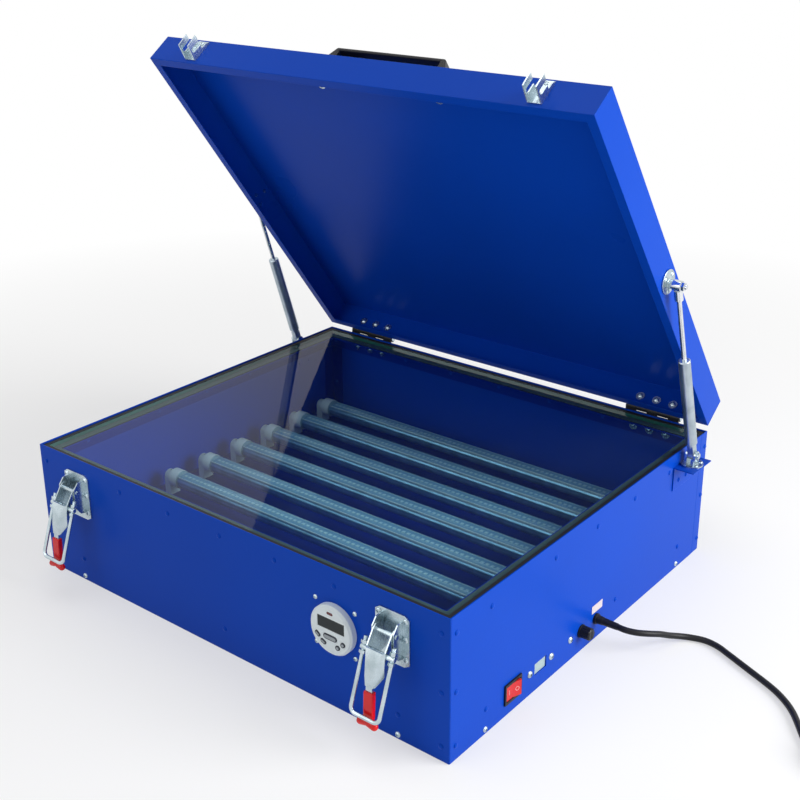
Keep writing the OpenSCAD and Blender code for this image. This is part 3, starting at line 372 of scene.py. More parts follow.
class Finish(Enum):
    """The finishes of the unit, one per kind of surface."""

    BLUE = Paint("blue_paint", (0.002, 0.056, 0.450), gloss=0.06)
    # The blue paint made darker: painted shade for the parts inside the case
    BLUE_DEEP = Paint("blue_painted_shade", (0.001, 0.026, 0.310), rough=0.34, gloss=0.045)
    BLACK_STEEL = Paint(
        "black_steel", (0.008, 0.009, 0.012), rough=0.34, peel=500.0, depth=0.00003, gloss=0.25
    )
    ZINC = Plated("zinc_plate")
    STRUT = Plated("strut_grey", (0.50, 0.57, 0.63), rough=0.33, along=(1.0, 1.0, 0.2))
    BRIGHT = Plated("bright_rod", (0.82, 0.84, 0.86), rough=0.14, along=(1.0, 1.0, 0.05))
    # The grey is the aluminium's own; its blue tint is a painted reflection of the blue case
    SINK = Plated("lamp_sink_painted_reflection", (0.60, 0.76, 0.88), rough=0.36, along=(0.05, 1.0, 1.0))
    GLASS = Clear("float_glass", (0.86, 0.95, 0.97), veil=0.008, ior=1.2)
    GLASS_EDGE = Clear(
        "glass_edge", (0.10, 0.42, 0.36), veil=0.55, veil_colour=(0.05, 0.26, 0.22)
    )
    SLEEVE = Clear(
        "lamp_sleeve",
        (0.88, 0.95, 0.99),
        veil=0.09,
        veil_colour=(0.30, 0.52, 0.70),
        ior=1.4,
        rough=0.1,
    )
    TAPE = Moulded("seal_tape", (0.06, 0.09, 0.09), rough=0.6, grain=500.0, depth=0.00006)
    RUBBER = Moulded("seal_rubber", (0.014, 0.015, 0.016), rough=0.55, grain=500.0, depth=0.00006)
    WHITE = Moulded("white_plastic", (0.74, 0.75, 0.72), rough=0.35)
    BOARD = Moulded("lamp_board", (0.34, 0.48, 0.58), rough=0.5)
    # Pale diode colour, used too on the board's lips as painted highlights
    DIODE = Moulded("lamp_diode_and_highlight", (0.95, 0.96, 0.85), rough=0.25)
    TIMER = Moulded("timer_grey", (0.76, 0.84, 0.86), rough=0.42)
    BUTTON_RIM = Moulded("button_rim", (0.035, 0.04, 0.06))
    BUTTON_TOP = Moulded("button_top", (0.33, 0.37, 0.39))
    SCREEN = Screen("timer_screen")
    LAMP_RED = Moulded("timer_lamp_red", (0.12, 0.008, 0.016), rough=0.2, coat=0.6)
    BLACK = Moulded("black_plastic", (0.012, 0.012, 0.014), rough=0.38)
    JACKET = Moulded("cord_jacket", (0.010, 0.010, 0.012), rough=0.42, grain=1200.0, depth=0.00002)
    ROCKER = Moulded("rocker_red", (0.60, 0.010, 0.012), rough=0.22, coat=0.3)
    ROCKER_MARK = Moulded("rocker_mark", (0.75, 0.30, 0.28))
    VINYL = Moulded(
        "red_vinyl", (0.72, 0.006, 0.006), rough=0.2, grain=160.0, depth=0.00008, coat=0.2
    )
    COVER = Moulded("cover_plate", (0.36, 0.46, 0.46))
    PALE = Moulded("pale_plate", (0.66, 0.58, 0.60))
    WIRE = Moulded("wire_red", (0.35, 0.03, 0.02), rough=0.5)

    @property
    def material(self) -> bpy.types.Material:
        """The finish's material, made the first time it is asked for."""
        return bpy.data.materials.get(f"{self.value.name}_finish") or self.value.build()


def put(name: str, data: bpy.types.ID) -> bpy.types.Object:
    """Adds an object to the scene.

    Args:
        name: Its name.
        data: Its mesh, curve, lamp or camera.

    Returns:
        The object.
    """
    thing = bpy.data.objects.new(name, data)
    bpy.context.scene.collection.objects.link(thing)
    return thing


class Form:
    """A mesh under construction that becomes one piece of the scene."""

    def __init__(self, name: str) -> None:
        """Starts an empty mesh.

        Args:
            name: The piece's name.
        """
        self.name = name
        self.bm = bmesh.new()
        self.slots: list[Finish] = []

    def slot_for(self, finish: Finish) -> int:
        """The material index of a finish, added when new."""
        if finish not in self.slots:
            self.slots.append(finish)
        return self.slots.index(finish)

    def since(self, before: int) -> list[bmesh.types.BMFace]:
        """The faces made since the count before."""
        self.bm.faces.ensure_lookup_table()
        return self.bm.faces[before:]

    def paint(self, before: int, finish: Finish) -> None:
        """Gives a finish to the faces made since the count before."""
        index = self.slot_for(finish)
        for face in self.since(before):
            face.material_index = index

    def move(self, before: int, place: Matrix) -> None:
        """Moves the faces made since the count before."""
        verts = {v for face in self.since(before) for v in face.verts}
        bmesh.ops.transform(self.bm, matrix=place, verts=list(verts))

    def round_edges(self, edges: Iterable[bmesh.types.BMEdge], width: float, steps: int) -> None:
        """Rounds edges.

        Args:
            edges: The edges.
            width: The rounding, in metres.
            steps: Faces across it.
        """
        bmesh.ops.bevel(
            self.bm,
            geom=list(edges),
            offset=width,
            segments=steps,
            profile=0.5,
            affect="EDGES",
            material=-1,
            clamp_overlap=True,
        )

    def bar(
        self,
        start: Sequence[float],
        end: Sequence[float],
        radius: float,
        finish: Finish,
        segments: int,
        bevel: float,
    ) -> None:
        """Adds a round or many-sided bar from start to end.

        Args:
            start: One end of the axis.
            end: The other end.
            radius: Its radius.
            finish: Its finish.
            segments: Faces around, five or more.
            bevel: Rounding of its end edges.
        """
        before = len(self.bm.faces)
        a, b = Vector(start), Vector(end)
        turn = (b - a).to_track_quat("Z", "Y").to_matrix().to_4x4()
        made = bmesh.ops.create_cone(
            self.bm,
            cap_ends=True,
            segments=segments,
            radius1=radius,
            radius2=radius,
            depth=(b - a).length,
            matrix=Matrix.Translation((a + b) / 2) @ turn,
        )
        caps = [f for v in made["verts"] for f in v.link_faces if len(f.verts) > 4]
        self.round_edges({e for f in caps for e in f.edges}, bevel, 3)
        self.paint(before, finish)

    def block(
        self,
        centre: Sequence[float],
        size: Sequence[float],
        finish: Finish,
        bevel: float = 0.0,
    ) -> None:
        """Adds a block, with rounded edges when bevel is given.

        Args:
            centre: Its middle.
            size: Its lengths along X, Y and Z.
            finish: Its finish.
            bevel: Rounding of its edges.
        """
        before = len(self.bm.faces)
        place = Matrix.Translation(Vector(centre)) @ Matrix.Diagonal((*size, 1.0))
        made = bmesh.ops.create_cube(self.bm, size=1.0, matrix=place)
        if bevel > 0:
            self.round_edges({e for v in made["verts"] for e in v.link_edges}, bevel, 2)
        self.paint(before, finish)

    def lathe(
        self, line: Sequence[tuple[float, float]], place: Matrix, finish: Finish, steps: int = 32
    ) -> None:
        """Spins an outline of (radius, height) about its own Z axis.

        Args:
            line: The outline, from the axis out and back to it, or closed.
            place: Where the axis stands.
            finish: Its finish.
            steps: Faces around.
        """
        before = len(self.bm.faces)
        verts = [self.bm.verts.new((r, 0.0, h)) for r, h in line]
        edges = [self.bm.edges.new(pair) for pair in zip(verts, verts[1:])]
        bmesh.ops.spin(
            self.bm,
            geom=verts + edges,
            cent=(0, 0, 0),
            axis=(0, 0, 1),
            angle=math.tau,
            steps=steps,
            use_merge=True,
        )
        made = {v for face in self.since(before) for v in face.verts}
        bmesh.ops.remove_doubles(self.bm, verts=list(made), dist=WELD / 2)
        bmesh.ops.recalc_face_normals(self.bm, faces=self.since(before))
        self.move(before, place)
        self.paint(before, finish)

    def tube(
        self, path: Sequence[Vector], radii: Sequence[float], finish: Finish, sides: int = 16
    ) -> None:
        """Sweeps a circle along a path that stays in one plane.

        Args:
            path: The points of the centreline.
            radii: The radius at each point.
            finish: Its finish.
            sides: Faces around.
        """
        before = len(self.bm.faces)
        last = len(path) - 1
        rings: list[list[bmesh.types.BMVert]] = []
        for i, (point, radius) in enumerate(zip(path, radii)):
            way = (path[min(i + 1, last)] - path[max(i - 1, 0)]).normalized()
            place = Matrix.Translation(point) @ way.to_track_quat("Z", "X").to_matrix().to_4x4()
            made = bmesh.ops.create_circle(self.bm, segments=sides, radius=radius, matrix=place)
            rings.append(made["verts"])
        for low, high in zip(rings, rings[1:]):
            shift = min(range(sides), key=lambda k: (high[k].co - low[0].co).length)
            for k in range(sides):
                n = (k + 1) % sides
                self.bm.faces.new(
                    (low[k], low[n], high[(n + shift) % sides], high[(k + shift) % sides])
                )
        self.bm.faces.new(rings[0])
        self.bm.faces.new(rings[-1])
        bmesh.ops.recalc_face_normals(self.bm, faces=self.since(before))
        self.paint(before, finish)

    def copy_of(self, node: str, finish: Finish) -> None:
        """Starts the mesh as a CAD node's, with its flat faces made whole.

        Args:
            node: The CAD node.
            finish: Its finish.
        """
        self.bm.from_mesh(frame["nodes"][node].data)
        bmesh.ops.remove_doubles(self.bm, verts=self.bm.verts[:], dist=WELD)
        bmesh.ops.dissolve_limit(
            self.bm,
            angle_limit=FLAT_ANGLE,
            verts=self.bm.verts[:],
            edges=self.bm.edges[:],
            delimit={"NORMAL"},
        )
        self.paint(0, finish)

    def finish_piece(
        self,
        body: str,
        replaces: Sequence[str] = (),
        bevel: float = 0.0,
        steps: int = 2,
    ) -> bpy.types.Object:
        """Makes the piece, hangs it on its body and hides the CAD nodes it replaces.

        Args:
            body: The CAD body it moves with.
            replaces: The CAD nodes it stands for.
            bevel: Rounding added to its sharp edges.
            steps: Faces across that rounding.

        Returns:
            The finished object.
        """
        mesh = bpy.data.meshes.new(self.name)
        self.bm.to_mesh(mesh)
        self.bm.free()
        for finish in self.slots:
            mesh.materials.append(finish.material)
        mesh.shade_smooth()
        piece = put(self.name, mesh)
        if bevel > 0:
            rounding = piece.modifiers.new("rounding", "BEVEL")
            rounding.width = bevel
            rounding.segments = steps
            rounding.limit_method = "ANGLE"
            rounding.angle_limit = SMOOTH_ANGLE
            rounding.use_clamp_overlap = True
            level = piece.modifiers.new("level", "WEIGHTED_NORMAL")
            level.weight = 100
        else:
            mesh.set_sharp_from_angle(angle=SMOOTH_ANGLE)
        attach(piece, body)
        if replaces:
            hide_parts(*replaces)
        LOG.info("%s rides on %s, %d faces", self.name, body, len(mesh.polygons))
        return piece


def body_of(node: str) -> str:
    """The CAD body that holds a node."""
    bodies = frame["record"]["behaviour"]["bodies"]
    return next(body for body, nodes in bodies.items() if node in nodes)


def pivot_of(joint: str) -> Vector:
    """Where a hinge of the record turns."""
    joints = frame["record"]["behaviour"]["joints"]
    return Vector(next(entry["pos_m"] for entry in joints if entry["name"] == joint))


def soften(node: str, finish: Finish, bevel: float, steps: int = 2) -> None:
    """Replaces a CAD node by a copy whose sharp edges are rounded.

    Args:
        node: The CAD node.
        finish: The copy's finish.
        bevel: The rounding, in metres.
        steps: Faces across the rounding.
    """
    form = Form(f"{node}_rounded")
    form.copy_of(node, finish)
    form.finish_piece(body_of(node), [node], bevel, steps)


def dress(node: str, finish: Finish) -> None:
    """Gives a CAD node its finish and keeps its shape.

    Args:
        node: The CAD node.
        finish: Its finish.
    """
    mesh = frame["nodes"][node].data
    mesh.materials.clear()
    mesh.materials.append(finish.material)
    mesh.shade_smooth()
    mesh.set_sharp_from_angle(angle=SMOOTH_ANGLE)
    LOG.info("%s keeps its shape", node)


@dataclass
class View:
    """The camera at the photograph's angle."""

    place: Point = (0.95844, -1.13557, 0.86518)
    ahead: Point = (-0.57692, 0.73203, -0.36234)
    right: Point = (0.78588, 0.61838, -0.00199)
    lens: float = 56.52
    sensor: float = 36.0
    shift: tuple[float, float] = (-0.0188, -0.0537)
    nearest: float = 0.05

    def build(self) -> None:
        """Makes the camera and looks through it."""
        data = bpy.data.cameras.new("camera")
        data.lens = self.lens
        data.sensor_width = self.sensor
        data.sensor_fit = "HORIZONTAL"
        data.shift_x, data.shift_y = self.shift
        data.clip_start = self.nearest
        right, ahead = Vector(self.right).normalized(), Vector(self.ahead).normalized()
        up = right.cross(ahead)
        turn = Matrix((right, up, -ahead)).transposed().to_4x4()
        camera = put("camera", data)
        camera.matrix_world = Matrix.Translation(self.place) @ turn
        bpy.context.scene.camera = camera


def between(a: Vector, b: Vector, c: Vector, d: Vector, t: float) -> Vector:
    """A point on the smooth curve through four points, between the middle two.

    Args:
        a: The point before.
        b: The point where t is 0.
        c: The point where t is 1.
        d: The point after.
        t: How far from b to c.

    Returns:
        The point.
    """
    line = 2 * b + (c - a) * t
    bend = (2 * a - 5 * b + 4 * c - d) * t**2
    ease = (3 * b - a - 3 * c + d) * t**3
    return 0.5 * (line + bend + ease)


@dataclass
class MainsLead:
    """The mains cord from its gland, its spare length as a coil, and the plug.

    The route is the centreline up to the coil, which goes in on the floor and out
    again on top of that. Its pitch is from turn to turn, and from layer to layer.
    """

    diameter: float = 0.0075
    floor: float = 0.0038
    coil_centre: tuple[float, float] = (0.666, -0.014)
    coil_radius: float = 0.053
    coil_start: float = math.radians(217)
    turns: float = 5.5
    pitch: float = 0.0081
    climb_turns: float = 0.5
    points_a_turn: int = 48
    points_a_stretch: int = 4
    route: tuple[Point, ...] = (
        (0.360, 0.010, 0.028), (0.372, 0.010, 0.028), (0.384, 0.015, 0.027),
        (0.394, 0.026, 0.024), (0.401, 0.040, 0.019), (0.406, 0.054, 0.012),
        (0.413, 0.067, 0.007), (0.424, 0.077, 0.0042), (0.440, 0.082, 0.0038),
        (0.457, 0.080, 0.0038), (0.474, 0.073, 0.0038), (0.492, 0.065, 0.0038),
        (0.510, 0.057, 0.0038), (0.528, 0.049, 0.0038), (0.546, 0.040, 0.0038),
        (0.562, 0.029, 0.0038), (0.576, 0.016, 0.0038), (0.588, 0.001, 0.0038),
        (0.599, -0.014, 0.0038), (0.610, -0.028, 0.0038),
    )

    def coil_point(self, turn: float) -> Vector:
        """A point of the coil: in on the lower layer, then out on the upper one.

        Args:
            turn: How many turns it has gone.

        Returns:
            The point.
        """
        radius = self.coil_radius - self.pitch * min(turn, self.turns - turn)
        climb = (turn - self.turns / 2) / self.climb_turns + 0.5
        angle = self.coil_start + math.tau * turn
        return Vector((
            self.coil_centre[0] + radius * math.cos(angle),
            self.coil_centre[1] + radius * math.sin(angle),
            self.floor + self.pitch * max(0.0, min(1.0, climb)),
        ))

    def heading(self, turn: float) -> Vector:
        """The way that the coil runs after so many turns."""
        angle = self.coil_start + math.tau * turn
        return Vector((-math.sin(angle), math.cos(angle), 0.0))

    def path(self) -> list[Vector]:
        """The whole centreline, from the gland to the plug."""
        entry = self.coil_point(0.0) - self.diameter * self.heading(0.0)
        loose = [Vector(p) for p in self.route] + [entry]
        smooth: list[Vector] = []
        for i in range(len(loose) - 1):
            a, b = loose[max(i - 1, 0)], loose[i]
            c, d = loose[i + 1], loose[min(i + 2, len(loose) - 1)]
            for step in range(self.points_a_stretch):
                smooth.append(between(a, b, c, d, step / self.points_a_stretch))
        count = round(self.turns * self.points_a_turn)
        wound = [self.coil_point(i / self.points_a_turn) for i in range(count + 1)]
        return smooth + [entry] + wound + [self.end()]

    def end(self) -> Vector:
        """The cord's end, a little way straight on from the coil."""
        return self.coil_point(self.turns) + self.diameter * self.heading(self.turns)

    def build(self) -> None:
        """Makes the cord and its plug."""
        way = self.heading(self.turns)
        turn = Matrix.Rotation(math.atan2(way.y, way.x), 4, "Z")
        plug = MainsPlug(Matrix.Translation(self.end()) @ turn).build()
        points = self.path()
        curve = bpy.data.curves.new("mains_cord", "CURVE")
        curve.dimensions = "3D"
        curve.bevel_depth = self.diameter / 2
        curve.bevel_resolution = 4
        curve.use_fill_caps = True
        spline = curve.splines.new("POLY")
        spline.points.add(len(points) - 1)
        for place, point in zip(spline.points, points):
            place.co = (*point, 1.0)
        curve.materials.append(Finish.JACKET.material)
        cord = put("mains_cord", curve)
        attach(cord, "case")
        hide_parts("cord", "cord_coil")
        length = sum((b - a).length for a, b in zip(points, points[1:]))
        LOG.info("mains cord is %.3f m long", length)


@dataclass
class MainsPlug:
    """The moulded plug along X: ribbed tail, body, two blades and an earth pin.

    A rib's points are how far out of the rib's radius, and how far up the tail,
    they lie. What ends in _mm is in millimetres, and the rest in metres.
    """

    place: Matrix
    ribs: int = 7
    rib_mm: tuple[tuple[float, float], ...] = ((0.0, 1.5), (0.1, 4.0), (-0.7, 4.3), (-0.7, 5.2))
    rib_pitch_mm: float = 4.0
    rib_radius_mm: float = 4.6
    rib_growth_mm: float = 0.2
    tail_ends_mm: tuple[float, float] = (4.3, 5.4)
    tail_length_mm: float = 31.0
    body_x: float = 0.0455
    body_size: Point = (0.029, 0.0216, 0.0216)
    taper: float = 0.55
    rounding: float = 0.0028
    blade: Point = (0.0168, 0.0014, 0.0062)
    blade_place: Point = (0.068, 0.00635, 0.004)
    pin_span: tuple[float, float] = (0.058, 0.0785)
    pin_z: float = -0.005
    pin_radius: float = 0.00235

    def tail(self) -> list[tuple[float, float]]:
        """The tail's outline of (radius, height), in metres."""
        first, last = self.tail_ends_mm
        line = [(0.0, 0.0), (first, 0.0)]
        for i in range(self.ribs):
            radius = self.rib_radius_mm + self.rib_growth_mm * i
            line += [(radius + out, up + self.rib_pitch_mm * i) for out, up in self.rib_mm]
        line += [(last, self.tail_length_mm), (0.0, self.tail_length_mm)]
        return [(r * MM, h * MM) for r, h in line]

    def body(self, form: Form) -> None:
        """Adds the rounded body, narrower at the tail's end."""
        before = len(form.bm.faces)
        form.block((self.body_x, 0.0, 0.0), self.body_size, Finish.BLACK)
        made = {v for face in form.since(before) for v in face.verts}
        for vert in made:
            if vert.co.x < self.body_x:
                vert.co.y *= self.taper
                vert.co.z *= self.taper
        form.round_edges({e for v in made for e in v.link_edges}, self.rounding, 4)

    def build(self) -> bpy.types.Object:
        """Returns the finished plug."""
        form = Form("mains_plug")
        lying = self.place @ Matrix.Rotation(QUARTER_TURN, 4, "Y")
        form.lathe(self.tail(), lying, Finish.BLACK)
        before = len(form.bm.faces)
        self.body(form)
        x, y, z = self.blade_place
        for side in (-1, 1):
            form.block((x, side * y, z), self.blade, Finish.ZINC, bevel=0.0004)
        start, end = ((x, 0.0, self.pin_z) for x in self.pin_span)
        form.bar(start, end, self.pin_radius, Finish.ZINC, segments=24, bevel=0.001)
        form.move(before, self.place)
        return form.finish_piece("case", ["plug"])


@dataclass
class CaseBox:
    """The painted steel case with its base, ledge and rivets."""

    edge: float = 0.0006
    walls: tuple[str, ...] = ("front", "left", "right", "rear", "base")
    inner: tuple[str, ...] = ("corner_posts", "glass_ledge", "lamp_deck")

    def build(self) -> None:
        """Dresses the sheets and their rivets."""
        for wall in self.walls:
            soften(f"{wall}_panel", Finish.BLUE, self.edge)
        # Inside the case the blue is darker, which is painted shade
        for node in self.inner:
            dress(node, Finish.BLUE_DEEP)
        dress("case_rivets", Finish.BLUE)
        dress("case_screws", Finish.ZINC)
        soften("strut_shelves", Finish.BLUE, self.edge)


@dataclass
class GlassTop:
    """The glass plate in its black seal.

    A face lies flat where the Z of its normal is above level.
    """

    level: float = 0.5
    lip_reach: float = 0.001

    def build(self) -> None:
        """Dresses the glass, with its own finish on the polished edges."""
        form = Form("glass_top")
        form.copy_of("glass_plate", Finish.GLASS)
        edge = form.slot_for(Finish.GLASS_EDGE)
        for face in form.bm.faces:
            if abs(face.normal.z) < self.level:
                face.material_index = edge
        form.finish_piece("case", ["glass_plate"], bevel=0.0004)
        self.seal()

    def seal(self) -> None:
        """Builds the seal, with paler tape on the lip that the glass lies on."""
        form = Form("glass_seal_rounded")
        form.copy_of("glass_seal", Finish.RUBBER)
        tape = form.slot_for(Finish.TAPE)
        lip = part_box("glass_plate")[0][2] + self.lip_reach
        for face in form.bm.faces:
            if face.normal.z > self.level and face.calc_center_median().z < lip:
                face.material_index = tape
        form.finish_piece("case", ["glass_seal"], bevel=0.0003)


@dataclass
class LampBed:
    """Tube lamps with a strip of diodes, their caps and holders.

    The boards lie raised above the lamps' axis, and lip_z and diode_z count from
    their underside. A board and a lip are given as width and height. The lips carry
    the pale diode finish as painted highlights along the board's edges.
    """

    count: int = 8
    pitch: float = 0.0635
    axis_z: float = 0.066
    half: float = 0.276
    raised: float = 0.0066
    board: tuple[float, float] = (0.0166, 0.0012)
    lip: tuple[float, float] = (0.0009, 0.0018)
    lip_z: float = 0.0007
    diode: Point = (0.0042, 0.0040, 0.0008)
    diode_z: float = 0.0015
    diode_pitch: float = 0.0077
    back_radius: float = 0.0114
    back_steps: int = 24
    rib: float = 0.0009
    rib_every: int = 3

    def build(self) -> None:
        """Dresses the lamps and builds their boards."""
        dress("lamp_tubes", Finish.SLEEVE)
        soften("lamp_caps", Finish.WHITE, bevel=0.0006)
        soften("lamp_holders", Finish.WHITE, bevel=0.0008)
        self.boards()
        soften("power_driver", Finish.ZINC, bevel=0.0005)
        soften("terminal_block", Finish.WHITE, bevel=0.0004)
        dress("wiring", Finish.WIRE)

    def boards(self) -> None:
        """Builds the boards, their diodes and the half-round metal backs under them."""
        form = Form("lamp_boards")
        seat = self.axis_z + self.raised
        length = 2 * self.half
        per_board = int(length / self.diode_pitch)
        board_w, board_t = self.board
        lip_w, lip_h = self.lip
        for lamp in range(self.count):
            y = (lamp - (self.count - 1) / 2) * self.pitch
            self.back(form, y)
            form.block((0, y, seat + board_t / 2), (length, board_w, board_t), Finish.BOARD)
            # The lips take the pale diode finish: painted highlights along the board's edges
            for way in (-1, 1):
                rim = y + way * (board_w + lip_w) / 2
                form.block((0, rim, seat + self.lip_z), (length, lip_w, lip_h), Finish.DIODE)
            for i in range(per_board):
                x = (i - (per_board - 1) / 2) * self.diode_pitch
                form.block((x, y, seat + self.diode_z), self.diode, Finish.DIODE)
        form.finish_piece("case", ["led_strips"])

    def back(self, form: Form, y: float) -> None:
        """Adds one metal back: a round trough up to the board, with ribs along it.

        Args:
            form: The mesh it goes into.
            y: The lamp's place along Y.
        """
        before = len(form.bm.faces)
        spread = math.acos(self.raised / self.back_radius)
        step = (math.tau - 2 * spread) / self.back_steps
        outline = []
        for i in range(self.back_steps + 1):
            angle = QUARTER_TURN + spread + i * step
            radius = self.back_radius - (self.rib if i % self.rib_every == 1 else 0.0)
            outline.append((y + radius * math.cos(angle), self.axis_z + radius * math.sin(angle)))
        near, far = (
            [form.bm.verts.new((x, *point)) for point in outline] for x in (-self.half, self.half)
        )
        for k in range(len(outline)):
            n = (k + 1) % len(outline)
            form.bm.faces.new((near[k], near[n], far[n], far[k]))
        form.bm.faces.new(near)
        form.bm.faces.new(far)
        bmesh.ops.recalc_face_normals(form.bm, faces=form.since(before))
        # Metal grey with a painted blue reflection in its colour
        form.paint(before, Finish.SINK)


@dataclass
class TimerUnit:
    """The round timer on the front."""

    buttons: int = 5
    rim: float = 0.0009
    step_in: float = 0.00025
    step_up: float = 0.0002

    def build(self) -> None:
        """Dresses the timer's body, screen, lamp and buttons."""
        soften("timer_body", Finish.TIMER, bevel=0.0005, steps=3)
        soften("timer_display", Finish.SCREEN, bevel=0.0002)
        soften("timer_lamp", Finish.LAMP_RED, bevel=0.0003)
        for number in range(1, self.buttons + 1):
            self.button(f"timer_button_{number}")

    def button(self, node: str) -> None:
        """Builds one button with a dark rim and a pale raised top."""
        form = Form(f"{node}_cap")
        form.copy_of(node, Finish.BUTTON_RIM)
        top = form.slot_for(Finish.BUTTON_TOP)
        face = min(form.bm.faces, key=lambda f: f.calc_center_median().y)
        bmesh.ops.inset_region(form.bm, faces=[face], thickness=self.rim, depth=0.0)
        bmesh.ops.inset_region(
            form.bm, faces=[face], thickness=self.step_in, depth=self.step_up
        )
        face.material_index = top
        form.finish_piece(body_of(node), [node], bevel=0.00012)


@dataclass
class SideFittings:
    """Switch, cover plate, fuse holder, gland and pale plate on the right side.

    The rocker stands at its tilt, and each half of its face leans away from the
    middle. The ring is given as inner and outer radius, and as low and high.
    """

    tilt: float = math.radians(-10)
    lean: float = math.atan2(0.0018, 0.012)
    face_x: float = 0.0061
    mark_y: float = 0.0062
    bar: Point = (0.0062, 0.0009, 0.0003)
    ring: tuple[float, float] = (0.0019, 0.0028)
    ring_z: tuple[float, float] = (-0.0001, 0.00015)

    def build(self) -> None:
        """Dresses the fittings and builds the rocker's marks."""
        soften("rocker_frame", Finish.BLACK, bevel=0.0006)
        soften("rocker_paddle", Finish.ROCKER, bevel=0.0007, steps=3)
        self.marks()
        soften("blanking_plate", Finish.COVER, bevel=0.0003)
        soften("fuse_holder", Finish.BLACK, bevel=0.0004)
        soften("fuse_cap", Finish.BLACK, bevel=0.0003)
        soften("cord_gland", Finish.BLACK, bevel=0.0004)
        soften("label_plate", Finish.PALE, bevel=0.0001)

    def spot(self, way: int) -> Matrix:
        """Where a mark lies on the rocker, with Z out of its face.

        Args:
            way: -1 for the half towards the front, 1 for the other.

        Returns:
            Its place and turn.
        """
        rocker = Matrix.Translation(pivot_of("switch_rock")) @ Matrix.Rotation(self.tilt, 4, "Z")
        seat = Matrix.Translation((self.face_x, way * self.mark_y, 0.0))
        lean = Matrix.Rotation(-way * self.lean, 4, "Z")
        return rocker @ seat @ lean @ Matrix.Rotation(QUARTER_TURN, 4, "Y")

    def marks(self) -> None:
        """Builds the plain bar and ring of the rocker."""
        form = Form("rocker_marks")
        form.block((0, 0, 0), self.bar, Finish.ROCKER_MARK)
        form.move(0, self.spot(-1))
        inner, outer = self.ring
        low, high = self.ring_z
        line = [(inner, low), (outer, low), (outer, high), (inner, high), (inner, low)]
        form.lathe(line, self.spot(1), Finish.ROCKER_MARK)
        form.finish_piece("switch")


@dataclass
class LidPan:
    """The lid with its grab handle, screws, catches and hinges."""

    edge: float = 0.0011
    fine: float = 0.0003

    def build(self) -> None:
        """Dresses the lid."""
        soften("lid_shell", Finish.BLUE, self.edge, steps=3)
        soften("lid_handle", Finish.BLACK, bevel=0.0022, steps=4)
        dress("lid_screws", Finish.ZINC)
        soften("latch_catches", Finish.ZINC, self.fine)
        soften("hinge_case_leaves", Finish.BLACK_STEEL, self.fine)
        soften("hinge_lid_leaves", Finish.BLACK_STEEL, self.fine)
        soften("hinge_pins", Finish.ZINC, self.fine)


class GasStruts:
    """The two gas struts with their feet and upper brackets."""

    def build(self) -> None:
        """Dresses tubes, rods and brackets."""
        for side in SIDES:
            soften(f"strut_tube_{side}", Finish.STRUT, bevel=0.0005)
            soften(f"strut_rod_{side}", Finish.BRIGHT, bevel=0.0004)
        soften("strut_feet", Finish.ZINC, bevel=0.0004)
        soften("strut_lid_brackets", Finish.ZINC, bevel=0.0005)


